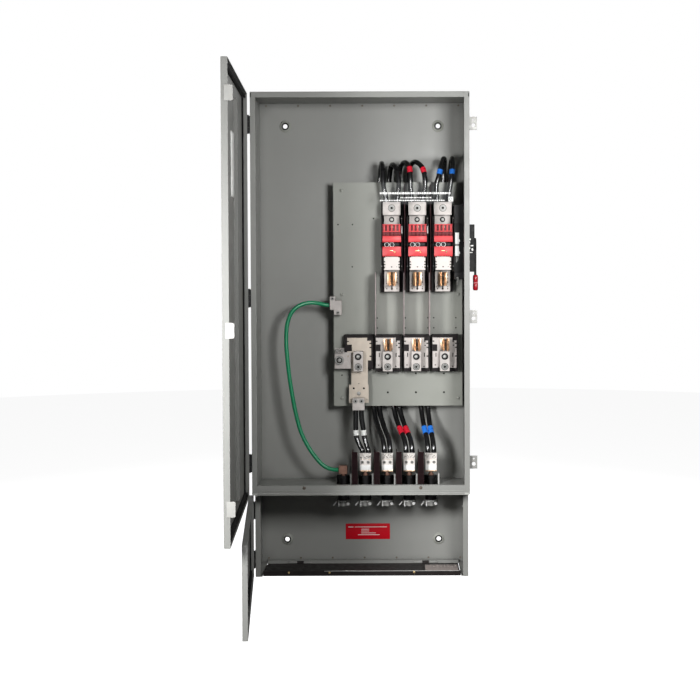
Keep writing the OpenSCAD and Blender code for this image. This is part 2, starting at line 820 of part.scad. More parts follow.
// Moving half of a hinge, drawn as closed
module door_hinge(y, t, z) {
  third = hinge_h / 3;
  difference() {
    union() {
      rod_z(z - third / 2, z + third / 2, hinge_x, y, knuckle_r);
      block([hinge_x, y - 5, z - third / 2], [door_x0, y - 2.5, z + third / 2]);
      block([door_x0 - 1.5, y + 2 - t + 1, z - hinge_h / 2], [door_x0, y - 0.5, z + hinge_h / 2]);
    }
    rod_z(z - hinge_h, z + hinge_h, hinge_x, y, pin_r + running);
  }
}

module upper_door_pan() {
  color(paint) hung(upper_open, upper_hinge_y)
    door_pan(upper_door_y, door_t, upper_door_z);
}

module upper_door_gasket() {
  color(black) hung(upper_open, upper_hinge_y)
    door_gasket(upper_door_y, upper_seal, upper_door_z);
}

// Hat-shaped channel up the middle of the upper door
module door_stiffener() {
  y = upper_door_y + door_sheet;
  flange = 15;
  depth = 10;
  low = stiffener_z[0];
  high = stiffener_z[1];
  color(paint) hung(upper_open, upper_hinge_y) {
    for (x = [stiffener_x[0], stiffener_x[1] - flange])
      block([x, y, low], [x + flange, y + door_sheet, high]);
    for (x = [stiffener_x[0] + flange, stiffener_x[1] - flange - door_sheet])
      block([x, y, low], [x + door_sheet, y + depth, high]);
    block([stiffener_x[0] + flange, y + depth - door_sheet, low], [stiffener_x[1] - flange, y + depth, high]);
  }
}

module door_hasps() {
  color(steel) hung(upper_open, upper_hinge_y)
    for (z = hasps) {
      edge = latch_y[1] - latch_round;
      straight = latch_half - latch_round;
      block([door_x1, latch_y[0], z - latch_half], [door_x1 + 2, edge, z + latch_half]);
      block([door_x1, edge - 1, z - straight], [door_x1 + 2, latch_y[1], z + straight]);
      for (end = [-1, 1]) rod_x(door_x1, door_x1 + 2, edge, z + end * straight, latch_round);
    }
}

module document_pocket() {
  y = upper_door_y + door_sheet;
  color(cream) hung(upper_open, upper_hinge_y) block([stiffener_x[1] + 2, y, 384], [68, y + 2, 549]);
}

module upper_door_hinges() {
  color(black) hung(upper_open, upper_hinge_y)
    for (z = upper_hinges) door_hinge(upper_hinge_y, door_t, z);
}

module lower_door_pan() {
  color(paint) hung(lower_open, lower_hinge_y)
    door_pan(lower_door_y, lower_door_t, lower_door_z);
}

module lower_door_gasket() {
  color(black) hung(lower_open, lower_hinge_y)
    door_gasket(lower_door_y, lower_seal, lower_door_z);
}

module lower_door_hinges() {
  color(black) hung(lower_open, lower_hinge_y)
    for (z = lower_hinges) door_hinge(lower_hinge_y, lower_door_t, z);
}

// ---- cable flap ----

module cable_flap() {
  color([0.17, 0.15, 0.14]) difference() {
    union() {
      block([-flap_half, y_low + sheet, z_low + 2], [flap_half, flap_y - 7, z_low + 3.5]);
      block([-flap_half, y_low, z_low + 2], [flap_half, y_low + sheet, z_low + bottom_lip_h]);
      block([-flap_half, y_low + 10, z_low + 3], [-178, -70, z_low + 9]);
      block([186, y_low + 10, z_low + 3], [280, -70, z_low + 9]);
      for (c = [-190, 190]) {
        rod_x(c - 10, c + 10, flap_y, flap_z, knuckle_r - 0.5);
        block([c - 10, flap_y - 8, z_low + 2], [c + 10, flap_y - 1, z_low + 4]);
      }
    }
    for (c = [-190, 190]) rod_x(c - 12, c + 12, flap_y, flap_z, pin_r + running);
  }
}

module flap_hinge_pin() {
  color(steel) for (c = [-190, 190]) rod_x(c - 34, c + 34, flap_y, flap_z, pin_r);
}

back_panel();
left_wall();
right_wall();
top_panel();
divider_shelf();
bottom_frame();
hasp_tabs();
wall_hinge_leaves();
mounting_pan();
pan_standoffs();
panel_screws();
pole_bases();
line_contacts();
cable_lugs();
lug_screws();
terminal_bolts();
arc_chutes();
chute_covers();
load_blocks();
load_contacts();
fuse_clips();
pole_barriers();
fuse_barriers();
line_shield();
insulator_bases();
load_plates();
neutral_bar();
neutral_lug();
bonding_strap();
ground_lug();
ground_wire();
receptacles();
receptacle_studs();
receptacle_lugs();
receptacle_barriers();
barrier_posts();
receptacle_rings();
line_cables();
neutral_cables();
red_tapes();
blue_tapes();
white_tapes();
label_plate();
mechanism_frame();
handle_plate();
handle_lever();
handle_grip();
cross_shaft();
moving_blades();
upper_door_pan();
upper_door_gasket();
door_stiffener();
door_hasps();
document_pocket();
upper_door_hinges();
lower_door_pan();
lower_door_gasket();
lower_door_hinges();
cable_flap();
flap_hinge_pin();
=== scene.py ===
"""Looks of a wall-mounted fused disconnect switch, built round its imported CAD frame.

X runs to the right, Y runs into the wall and Z runs up. Shapes are drawn in millimetres, and piece()
scales them to metres.
"""

import json
import math
import random

import bmesh
import bpy
from mathutils import Matrix, Vector


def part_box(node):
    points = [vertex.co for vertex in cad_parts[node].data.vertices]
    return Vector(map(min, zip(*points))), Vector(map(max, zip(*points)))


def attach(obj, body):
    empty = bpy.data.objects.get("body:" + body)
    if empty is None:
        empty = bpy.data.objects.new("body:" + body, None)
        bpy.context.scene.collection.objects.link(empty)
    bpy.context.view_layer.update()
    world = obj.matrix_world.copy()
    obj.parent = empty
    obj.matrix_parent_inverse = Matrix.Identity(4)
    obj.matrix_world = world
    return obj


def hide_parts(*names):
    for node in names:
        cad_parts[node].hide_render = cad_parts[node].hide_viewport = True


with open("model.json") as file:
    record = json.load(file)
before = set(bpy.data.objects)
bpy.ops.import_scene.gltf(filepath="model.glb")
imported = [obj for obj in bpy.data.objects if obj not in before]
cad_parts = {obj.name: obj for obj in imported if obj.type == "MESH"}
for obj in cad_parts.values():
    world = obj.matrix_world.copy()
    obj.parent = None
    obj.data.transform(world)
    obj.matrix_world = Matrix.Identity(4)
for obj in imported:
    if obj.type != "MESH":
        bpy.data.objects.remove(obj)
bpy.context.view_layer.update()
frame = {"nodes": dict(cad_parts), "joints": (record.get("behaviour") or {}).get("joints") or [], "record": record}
MM = 0.001
SHARP_ANGLE = 35
JOINTS = {joint["name"]: joint for joint in frame["joints"]}


# ---- places, from the frame, in millimetres ----

def box(node):
    """Lowest and highest corner of a CAD node at rest, in millimetres."""
    low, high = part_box(node)
    return low / MM, high / MM


def spread(node, count, left, right):
    """X of the repeated members of a node, from its outer sides and a member's two half widths."""
    low, high = box(node)
    first = low.x + left
    last = high.x - right
    return [first + (last - first) * i / (count - 1) for i in range(count)]


POLES = spread("line_contacts", 3, 23, 23)
BASES = spread("load_plates", 3, 35, 36)
SOCKETS = spread("receptacle_rings", 5, 20, 20)
NEUTRAL_X = box("neutral_lug")[0].x + 17
SHAFT = Vector(JOINTS["blade_turn"]["pos_m"]) / MM
WALL_LEFT = box("left_wall")[0].x
WALL_RIGHT = box("right_wall")[1].x
TOP = box("top_panel")[1].z
BOTTOM = box("left_wall")[0].z
FRONT = box("left_wall")[0].y
LOW_FRONT = box("cable_flap")[0].y
SHELF = box("divider_shelf")[0].z
BACK = -2
PAN_LOW, PAN_HIGH = box("mounting_pan")
PAN_FACE = PAN_LOW.y
LUG_FACE = box("cable_lugs")[0].y
LINE_FACE = box("line_contacts")[1].y - 5
CLIP_FACE = box("load_blocks")[1].y
PLATE_FACE = box("load_plates")[0].y
LOAD_LUG_FACE = PLATE_FACE - 28
CHUTE_FACE = box("arc_chutes")[0].y
LINE_SCREW_Z, LINE_BOLT_Z = 375, 342
LOAD_SCREW_Z, LOAD_BOLT_Z = -91, -61
SOCKET_LUG_FACE = -142
GROUND_LUG_FACE = -98
COVER_WIDTH = 54
COVER_THICK = 3.2
FLOOR_DROP = 420
PATH_STEPS = 7
SOCKET_Y = (box("receptacle_lugs")[0].y + box("receptacle_lugs")[1].y) / 2


def hung(joint_name):
    """Matrix from a door's closed place, in which its details are drawn, to its place at rest."""
    joint = JOINTS[joint_name]
    pivot = Vector(joint["pos_m"]) / MM
    turn = Matrix.Rotation(-math.radians(joint["range_deg"][1]), 4, Vector(joint["axis"]))
    return Matrix.Translation(pivot) @ turn @ Matrix.Translation(-pivot)


# ---- node materials ----

def add_node(tree, kind, settings=None, **inputs):
    """A shader node with its settings; inputs are values or the sockets that feed them."""
    node = tree.nodes.new("ShaderNode" + kind)
    for key, value in (settings or {}).items():
        setattr(node, key, value)
    for key, value in inputs.items():
        socket = node.inputs[key.replace("_", " ")]
        if isinstance(value, bpy.types.NodeSocket):
            tree.links.new(value, socket)
        else:
            socket.default_value = value
    return node


def scaled(tree, value, low, high, start=0.35, end=0.65):
    """A noise value spread from low to high."""
    node = add_node(tree, "MapRange", Value=value)
    for i, number in zip((1, 2, 3, 4), (start, end, low, high)):
        node.inputs[i].default_value = number
    return node.outputs[0]


def product(tree, colour, factor):
    """A colour times a number."""
    node = add_node(tree, "VectorMath", {"operation": "SCALE"})
    tree.links.new(colour, node.inputs[0])
    tree.links.new(factor, node.inputs["Scale"])
    return node.outputs[0]


def blended(tree, factor, first, second):
    """First colour where factor is 0, second where it is 1."""
    node = add_node(tree, "Mix", {"data_type": "RGBA"})
    for i, value in ((0, factor), (6, first), (7, second)):
        if isinstance(value, bpy.types.NodeSocket):
            tree.links.new(value, node.inputs[i])
        else:
            node.inputs[i].default_value = value
    return node.outputs[2]


def material(name, colour, roughness, metallic=0.0, mottle=0.05, mottle_scale=14.0, rough_spread=0.06,
             grain=0.12, grain_scale=900.0, grain_depth=0.0002, stretch=(1, 1, 1), stain=None,
             stain_share=0.35, painted_corner_shade=0.25, painted_corner_shade_reach=0.018, worn=None, coat=0.0, specular=0.5):
    """A material whose colour drifts and stains, has painted shade darkening its corners, wears on edges and has
    grain.
    """
    made = bpy.data.materials.new(name)
    made.use_nodes = True
    tree = made.node_tree
    tree.nodes.clear()
    place = add_node(tree, "TexCoord").outputs["Object"]
    place = add_node(tree, "Mapping", Vector=place, Scale=stretch).outputs[0]
    drift = add_node(tree, "TexNoise", Vector=place, Scale=mottle_scale, Detail=5.0).outputs["Fac"]
    patch = add_node(tree, "TexNoise", Vector=place, Scale=mottle_scale * 6, Detail=3.0).outputs["Fac"]
    fine = add_node(tree, "TexNoise", Vector=place, Scale=grain_scale, Detail=2.0).outputs["Fac"]
    base = add_node(tree, "RGB").outputs[0]
    base.default_value = (*colour, 1)
    shade = product(tree, base, scaled(tree, drift, 1 - mottle, 1 + mottle))
    if stain:
        share = scaled(tree, patch, 0.0, stain_share, 0.45, 0.75)
        shade = blended(tree, share, shade, (*stain, 1))
    if worn:
        edge = add_node(tree, "Bevel", {"samples": 4}, Radius=0.0012).outputs[0]
        flat = add_node(tree, "NewGeometry").outputs["Normal"]
        dot = add_node(tree, "VectorMath", {"operation": "DOT_PRODUCT"})
        tree.links.new(edge, dot.inputs[0])
        tree.links.new(flat, dot.inputs[1])
        rub = scaled(tree, dot.outputs["Value"], 0.8, 0.0, 0.80, 0.985)
        shade = blended(tree, rub, shade, (*worn, 1))
    # Painted shade: an ambient-occlusion mask darkens the colour in corners and crevices.
    if painted_corner_shade:
        occlusion_shade = add_node(tree, "AmbientOcclusion", {"samples": 4}, Distance=painted_corner_shade_reach).outputs["AO"]
        shade = product(tree, shade, scaled(tree, occlusion_shade, 1 - painted_corner_shade, 1.0, 0.15, 0.75))
    bump = add_node(tree, "Bump", Strength=grain, Distance=grain_depth, Height=fine).outputs[0]
    rough = scaled(tree, patch, roughness - rough_spread, roughness + rough_spread)
    shader = add_node(tree, "BsdfPrincipled", Base_Color=shade, Roughness=rough, Metallic=metallic,
                      Normal=bump, Coat_Weight=coat, Specular_IOR_Level=specular)
    add_node(tree, "OutputMaterial", Surface=shader.outputs[0])
    return made


def clear_material(name, tint, alpha, roughness=0.12, specular=0.5):
    """Clear or milky sheet plastic with faint scuffs."""
    made = material(name, tint, roughness, mottle=0.04, mottle_scale=30, painted_corner_shade=0, grain=0.05,
                    specular=specular)
    tree = made.node_tree
    shader = next(n for n in tree.nodes if n.type == "BSDF_PRINCIPLED")
    place = add_node(tree, "TexCoord").outputs["Object"]
    scuff = add_node(tree, "TexNoise", Vector=place, Scale=60.0, Detail=6.0).outputs["Fac"]
    tree.links.new(scaled(tree, scuff, alpha * 0.85, min(1.0, alpha * 1.2)), shader.inputs["Alpha"])
    return made


def make_materials():
    """Every material, by a plain name."""
    # On the paint, the painted shade in corners is strong and reaches 50 mm.
    paint = {"mottle": 0.035, "mottle_scale": 5, "rough_spread": 0.05, "grain": 0.22, "grain_scale": 520,
             "painted_corner_shade": 0.5, "painted_corner_shade_reach": 0.05}
    moulding = {"mottle": 0.25, "grain": 0.3, "grain_scale": 700, "painted_corner_shade": 0}
    tape = {"grain": 0.1, "painted_corner_shade": 0}
    made = {
        "paint": material("grey_paint", (0.270, 0.272, 0.257), 0.42, worn=(0.33, 0.335, 0.31),
                          **paint),
        "lip_paint": material("lip_paint", (0.285, 0.29, 0.268), 0.40, worn=(0.40, 0.41, 0.38),
                              **paint),
        "door_paint": material("door_paint", (0.200, 0.202, 0.191), 0.42, worn=(0.26, 0.265, 0.25),
                               stain=(0.20, 0.175, 0.165), stain_share=0.12, **paint),
        "low_door_paint": material("low_door_paint", (0.215, 0.217, 0.206), 0.42,
                                   worn=(0.27, 0.275, 0.26), stain=(0.25, 0.22, 0.21),
                                   stain_share=0.12, **paint),
        "pan_paint": material("pan_paint", (0.285, 0.292, 0.262), 0.40, **paint),
        "zinc": material("zinc_plate", (0.34, 0.34, 0.325), 0.45, metallic=0.35,
                         stain=(0.28, 0.26, 0.23)),
        "bright": material("bright_plate", (0.62, 0.62, 0.60), 0.35, metallic=0.45,
                           stain=(0.45, 0.43, 0.40)),
        "tin": material("tin_plate", (0.46, 0.43, 0.41), 0.50, metallic=0.25, mottle=0.08, specular=0.3,
                        mottle_scale=60, stain=(0.36, 0.30, 0.27), stain_share=0.30, painted_corner_shade=0.5),
        "cream_tin": material("warm_tin_plate", (0.52, 0.46, 0.39), 0.50, metallic=0.25, mottle=0.06,
                              mottle_scale=40, specular=0.3, stain=(0.55, 0.45, 0.36),
                              stain_share=0.25, painted_corner_shade=0.45),
        "copper": material("copper", (0.80, 0.56, 0.38), 0.34, metallic=0.9, mottle=0.16,
                           mottle_scale=90, stain=(0.30, 0.17, 0.09), stain_share=0.5, painted_corner_shade=0.5),
        "brass": material("brass", (0.78, 0.58, 0.28), 0.30, metallic=0.9, stain=(0.40, 0.28, 0.12)),
        "black_steel": material("black_steel", (0.007, 0.007, 0.0075), 0.50, mottle=0.2, specular=0.22,
                                worn=(0.035, 0.035, 0.035), painted_corner_shade=0),
        "black_plastic": material("black_moulding", (0.006, 0.0055, 0.006), 0.48, specular=0.25,
                                  **moulding),
        "base_plastic": material("base_moulding", (0.009, 0.006, 0.0065), 0.55, specular=0.18,
                                 **moulding),
        # A darkened copy of the red moulding: painted shade of the arc chutes' recesses.
        "red_painted_shade": material("dark_red_moulding", (0.145, 0.005, 0.009), 0.42, mottle=0.10,
                             painted_corner_shade=0.5, specular=0.3),
        "red": material("red_moulding", (0.62, 0.026, 0.034), 0.46, mottle=0.06, painted_corner_shade=0.35),
        "cream": material("cream_moulding", (0.66, 0.61, 0.575), 0.5, mottle=0.03,
                          stain=(0.62, 0.55, 0.47), stain_share=0.2, painted_corner_shade=0.45),
        # Painted shade: the fibre's colour is darkened nearly to black for the barriers' shadows between the
        # poles.
        "fibre": material("brown_fibre", (0.012, 0.005, 0.006), 0.75, mottle=0.18, mottle_scale=30,
                          grain=0.5, grain_scale=320, stretch=(1, 1, 4), specular=0.08,
                          worn=(0.17, 0.085, 0.085)),
        "fin": clear_material("milky_fin", (0.46, 0.37, 0.37), 0.72, 0.35),
        "shield": clear_material("clear_shield", (0.75, 0.78, 0.80), 0.02, 0.05, 0.12),
        "cable": material("black_jacket", (0.005, 0.005, 0.0055), 0.15, mottle=0.2, grain=0.03,
                          grain_scale=1400, rough_spread=0.02, painted_corner_shade=0, specular=0.8),
        "green": material("green_jacket", (0.004, 0.235, 0.100), 0.34, mottle=0.06, grain=0.12,
                          grain_scale=1400, painted_corner_shade=0.2),
        "red_tape": material("red_tape", (0.58, 0.012, 0.03), 0.3, **tape),
        "blue_tape": material("blue_tape", (0.02, 0.17, 0.64), 0.3, **tape),
        "white_tape": material("white_tape", (0.82, 0.83, 0.80), 0.35, mottle=0.04, **tape),
        "label_red": material("label_red", (0.55, 0.004, 0.014), 0.5, mottle=0.03, painted_corner_shade=0,
                              specular=0.15),
        # White for print, labels and sheets, and also painted highlight on the receptacle locks.
        "print_and_highlight_white": material("print_and_highlight_white_paint", (0.86, 0.86, 0.84), 0.5, mottle=0.03, painted_corner_shade=0),
        "paper": material("label_paper", (0.70, 0.71, 0.69), 0.55, mottle=0.03, painted_corner_shade=0.2),
        "grip": material("red_grip", (0.56, 0.005, 0.018), 0.30, mottle=0.05, coat=0.3, painted_corner_shade=0.2),
        "grip_band": material("grip_band", (0.78, 0.22, 0.24), 0.35, mottle=0.04, painted_corner_shade=0),
        "foam": material("black_foam", (0.012, 0.012, 0.012), 0.85, mottle=0.3, grain=0.9,
                         grain_scale=1100, grain_depth=0.0006, painted_corner_shade=0, specular=0.2),
        "bronze": material("dark_bronze", (0.014, 0.011, 0.011), 0.50, mottle=0.2, mottle_scale=12,
                           specular=0.22, stain=(0.03, 0.022, 0.02), worn=(0.07, 0.06, 0.055)),
        "bracket": material("pale_bracket", (0.36, 0.31, 0.29), 0.45, mottle=0.12, mottle_scale=70,
                            stain=(0.14, 0.09, 0.08), stain_share=0.6, worn=(0.5, 0.46, 0.43)),
        "weld": material("weld_spot", (0.13, 0.105, 0.085), 0.5, mottle=0.3, mottle_scale=200),
        "latch_slot": material("latch_slot", (0.08, 0.078, 0.074), 0.45, mottle=0.2,
                               mottle_scale=120, painted_corner_shade=0),
        # Near-black painted shade for the insides of holes, sockets, rims and gaps.
        "painted_hole_shade": material("painted_hole_shade", (0.010, 0.009, 0.008), 0.7, mottle=0.2, painted_corner_shade=0,
                              specular=0.15),
        "pale_tin": material("pale_tin_plate", (0.80, 0.765, 0.73), 0.45, metallic=0.15, mottle=0.07,
                             mottle_scale=60, specular=0.3, stain=(0.55, 0.45, 0.38),
                             stain_share=0.3, painted_corner_shade=0.3),
        # A lighter copy of the paint: painted highlight on the shelf's lip.
        "lip_painted_highlight": material("lip_highlight_paint", (0.50, 0.51, 0.475), 0.38, **paint),
        "brown": material("aged_copper", (0.30, 0.165, 0.12), 0.42, metallic=0.5, mottle=0.2,
                          mottle_scale=90, stain=(0.14, 0.07, 0.05), stain_share=0.5, painted_corner_shade=0.5),
        "floor": material("pale_floor", (0.90, 0.90, 0.90), 0.9, mottle=0.01, painted_corner_shade=0, grain=0.05,
                          specular=0.1),
    }
    glow = next(n for n in made["floor"].node_tree.nodes if n.type == "BSDF_PRINCIPLED")
    glow.inputs["Emission Color"].default_value = (1, 1, 1, 1)
    glow.inputs["Emission Strength"].default_value = 0.93
    return made


LOOKS = make_materials()


# ---- mesh building ----

def add_box(mesh, low, high, bevel=0.0, turn=None):
    """A box between any two opposite corners, its edges rounded by bevel, turned if a matrix is given."""
    low, high = [Vector(map(pick, low, high)) for pick in (min, max)]
    made = bmesh.ops.create_cube(mesh, size=1.0)["verts"]
    for vert in made:
        vert.co = Vector((low[i] + (vert.co[i] + 0.5) * (high[i] - low[i]) for i in range(3)))
    edges = {edge for vert in made for edge in vert.link_edges}
    if bevel:
        made = bmesh.ops.bevel(mesh, geom=list(edges), offset=bevel, segments=2,
                               profile=0.5, affect="EDGES", clamp_overlap=True)["verts"]
        made = list(grown(made))
    if turn is not None:
        bmesh.ops.transform(mesh, matrix=turn, verts=made)
    return made


def grown(verts):
    """All vertices of the islands that verts belong to."""
    seen = set(verts)
    queue = list(verts)
    while queue:
        for edge in queue.pop().link_edges:
            for vert in edge.verts:
                if vert not in seen:
                    seen.add(vert)
                    queue.append(vert)
    return seen


AXIS_TURNS = {
    "x": Matrix.Rotation(math.pi / 2, 4, "Y"),
    "y": Matrix.Rotation(math.pi / 2, 4, "X"),
    "z": Matrix.Identity(4),
}


def put(mesh, verts, centre, axis, turn):
    """Moves a shape drawn round Z to its centre and axis, and then by a matrix if one is given."""
    place = Matrix.Translation(centre) @ AXIS_TURNS[axis]
    bmesh.ops.transform(mesh, matrix=turn @ place if turn is not None else place, verts=verts)


def circle(mesh, radius, height, segments):
    """Vertices of a circle round the Z axis, or a single one where the radius is 0."""
    if radius < 1e-4:
        return [mesh.verts.new((0, 0, height))]
    angles = [2 * math.pi * i / segments for i in range(segments)]
    return [mesh.verts.new((radius * math.cos(a), radius * math.sin(a), height)) for a in angles]


def bridge(mesh, lower, upper):
    """Faces between two rings of vertices, either of which may be a single point."""
    count = max(len(lower), len(upper))
    for i in range(count):
        j = (i + 1) % count
        corners = [lower[i % len(lower)], lower[j % len(lower)],
                   upper[j % len(upper)], upper[i % len(upper)]]
        unique = list(dict.fromkeys(corners))
        if len(unique) > 2:
            mesh.faces.new(unique)


def skin(mesh, rings):
    """Faces along a row of vertex rings, closed at both ends."""
    for lower, upper in zip(rings, rings[1:]):
        bridge(mesh, lower, upper)
    for ring in (rings[0][::-1], rings[-1]):
        if len(ring) > 2:
            mesh.faces.new(ring)
    return [vert for ring in rings for vert in ring]


def add_lathe(mesh, profile, centre, axis="y", segments=32, turn=None):
    """A solid of revolution. The profile is (radius, height) pairs; on axis y the height points out
    of the enclosure, towards negative Y."""
    verts = skin(mesh, [circle(mesh, radius, height, segments) for radius, height in profile])
    put(mesh, verts, centre, axis, turn)


def add_ring(mesh, line, centre, segments=40):
    """A closed ring that faces out of the enclosure: its outline is turned and joined end to end."""
    rings = [circle(mesh, radius, height, segments) for radius, height in line]
    for lower, upper in zip(rings, rings[1:] + rings[:1]):
        bridge(mesh, lower, upper)
    put(mesh, [vert for ring in rings for vert in ring], centre, "y", None)


def rounded(radius, height, edge, base=0.0):
    """Lathe profile of a disc whose top edge is rounded."""
    steps = [math.radians(90 * i / 3) for i in range(4)]
    top = [(radius - edge + edge * math.cos(a), height - edge + edge * math.sin(a)) for a in steps]
    return [(0, base), (radius, base)] + top + [(0, height)]


def disc(radius, height, base=0):
    """Lathe profile of a plain disc."""
    return [(0, base), (radius, base), (radius, height), (0, height)]


def washer(inner, outer, low, high):
    """Outline of a flat ring for add_ring."""
    return [(inner, low), (inner, high), (outer, high), (outer, low)]


def add_prism(mesh, outline, low, high, axis="y", turn=None, bevel=0.0):
    """An outline extruded along an axis. The outline is (x, z) for y, (y, z) for x and (x, y) for z."""
    def at(point, depth):
        if axis == "y":
            return (point[0], depth, point[1])
        if axis == "x":
            return (depth, point[0], point[1])
        return (point[0], point[1], depth)
    near = [mesh.verts.new(at(point, low)) for point in outline]
    far = [mesh.verts.new(at(point, high)) for point in outline]
    count = len(outline)
    faces = [mesh.faces.new(near), mesh.faces.new(list(reversed(far)))]
    for i in range(count):
        j = (i + 1) % count
        faces.append(mesh.faces.new([near[i], far[i], far[j], near[j]]))
    bmesh.ops.recalc_face_normals(mesh, faces=faces)
    verts = near + far
    if bevel:
        rim = [edge for face in faces[:2] for edge in face.edges]
        made = bmesh.ops.bevel(mesh, geom=rim, offset=bevel, segments=2, profile=0.5, affect="EDGES",
                               clamp_overlap=True)["verts"]
        verts = list(grown(made))
    if turn is not None:
        bmesh.ops.transform(mesh, matrix=turn, verts=verts)
    return verts


def smooth_path(points, steps=6):
    """Points of a Catmull-Rom curve through the given ones."""
    points = [Vector(p) for p in points]
    ends = [2 * points[0] - points[1]] + points + [2 * points[-1] - points[-2]]
    path = []
    for i in range(1, len(ends) - 2):
        before, start, end, after = ends[i - 1:i + 3]
        knots = [0.0]
        for a, b in ((before, start), (start, end), (end, after)):
            knots.append(knots[-1] + max((b - a).length ** 0.5, 1e-6))
        for k in range(steps):
            t = knots[1] + (knots[2] - knots[1]) * k / steps
            a1 = before.lerp(start, (t - knots[0]) / (knots[1] - knots[0]))
            a2 = start.lerp(end, (t - knots[1]) / (knots[2] - knots[1]))
            a3 = end.lerp(after, (t - knots[2]) / (knots[3] - knots[2]))
            b1 = a1.lerp(a2, (t - knots[0]) / (knots[2] - knots[0]))
            b2 = a2.lerp(a3, (t - knots[1]) / (knots[3] - knots[1]))
            path.append(b1.lerp(b2, (t - knots[1]) / (knots[2] - knots[1])))
    path.append(points[-1])
    return path


def add_tube(mesh, path, radius, sides=16):
    """A closed round tube along a path; radius is a number or a function of the share of the length."""
    rings = []
    normal = None
    for i, point in enumerate(path):
        ahead = (path[min(i + 1, len(path) - 1)] - path[max(i - 1, 0)]).normalized()
        if normal is None:
            normal = ahead.orthogonal().normalized()
        normal = (normal - ahead * normal.dot(ahead)).normalized()
        other = ahead.cross(normal)
        thick = radius(i / (len(path) - 1)) if callable(radius) else radius
        angles = [2 * math.pi * k / sides for k in range(sides)]
        rings.append([mesh.verts.new(point + thick * (math.cos(a) * normal + math.sin(a) * other))
                      for a in angles])
    return skin(mesh, rings)


def piece(name, mesh, look, body="enclosure", replaces=(), smooth=SHARP_ANGLE):
    """Turns a bmesh, drawn in millimetres, into a named piece that rides on a CAD body."""
    bmesh.ops.scale(mesh, vec=(MM, MM, MM), verts=mesh.verts)
    bmesh.ops.remove_doubles(mesh, verts=mesh.verts, dist=1e-7)
    bmesh.ops.recalc_face_normals(mesh, faces=mesh.faces)
    data = bpy.data.meshes.new(name)
    mesh.to_mesh(data)
    mesh.free()
    data.shade_smooth()
    data.set_sharp_from_angle(angle=math.radians(smooth))
    made = bpy.data.objects.new(name, data)
    bpy.context.scene.collection.objects.link(made)
    made.data.materials.append(LOOKS[look])
    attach(made, body)
    if replaces:
        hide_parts(*replaces)
    return made


# ---- fastener and fitting shapes ----

def add_pan_screw(mesh, x, y, z, radius, height, slot=True):
    """A domed screw head standing out from the face at y, with a fine cross on it."""
    angles = [math.radians(a) for a in range(0, 91, 15)]
    dome = [(radius * math.cos(a), height * math.sin(a)) for a in angles]
    add_lathe(mesh, [(0, 0)] + dome[:-1] + [(0, height)], (x, y, z), segments=24)
    if slot:
        arm = radius * 0.55
        for dx, dz in ((arm, arm * 0.22), (arm * 0.22, arm)):
            add_box(mesh, (x - dx, y - height * 1.03, z - dz), (x + dx, y - height * 0.9, z + dz), 0.1)


def add_hex_bolt(mesh, x, y, z, across, height):
    """A hexagon bolt on its round washer, with a chamfered and slightly domed head."""
    add_lathe(mesh, rounded(across * 0.64, 1.2, 0.4), (x, y, z), segments=36)
    outer = across / 2 / math.cos(math.pi / 6)
    profile = [(0, 1.2), (outer, 1.2), (outer, height - 0.8), (outer * 0.86, height),
               (outer * 0.5, height + 0.3), (0, height + 0.35)]
    add_lathe(mesh, profile, (x, y, z), segments=6)


def add_set_screw(mesh, x, y, z, radius, rise):
    """A lug's set screw: a turned ring with a groove and a socket."""
    profile = [(0, -1.5), (radius, -1.5), (radius, rise - 0.4), (radius - 0.4, rise),
               (radius * 0.82, rise), (radius * 0.76, rise - 1.0), (radius * 0.66, rise - 1.0),
               (radius * 0.60, rise - 0.1), (radius * 0.44, rise - 0.1),
               (radius * 0.40, rise - 2.6), (0, rise - 2.6)]
    add_lathe(mesh, profile, (x, y, z), segments=30)


# ---- camera, light and floor ----

def make_camera():
    """A long lens in front of the switch, a little above its middle."""
    data = bpy.data.cameras.new("camera")
    data.lens = 62.17
    data.sensor_width = 36
    data.shift_x = -0.0596
    data.shift_y = -0.0824
    data.clip_end = 60
    made = bpy.data.objects.new("camera", data)
    yaw, pitch, roll = -0.0029, 0.0271, -0.0032
    ahead = Vector((-math.sin(yaw) * math.cos(pitch), math.cos(yaw) * math.cos(pitch), -math.sin(pitch)))
    level = Vector((math.cos(yaw), math.sin(yaw), 0))
    upright = level.cross(ahead)
    right = math.cos(roll) * level + math.sin(roll) * upright
    up = -math.sin(roll) * level + math.cos(roll) * upright
    turn = Matrix((right, up, -ahead)).transposed()
    made.matrix_world = Matrix.Translation((0.0791, -3.6742, 0.2244)) @ turn.to_4x4()
    bpy.context.scene.collection.objects.link(made)
    bpy.context.scene.camera = made


def area_light(name, place, target, width, height, power, spread=180):
    """A soft rectangular light that faces a point; a grid on its front narrows its spread."""
    data = bpy.data.lights.new(name, "AREA")
    data.shape = "RECTANGLE"
    data.size = width
    data.size_y = height
    data.energy = power
    data.spread = math.radians(spread)
    made = bpy.data.objects.new(name, data)
    made.location = place
    made.rotation_euler = (Vector(target) - Vector(place)).to_track_quat("-Z", "Y").to_euler()
    made.visible_camera = False
    bpy.context.scene.collection.objects.link(made)
    return made


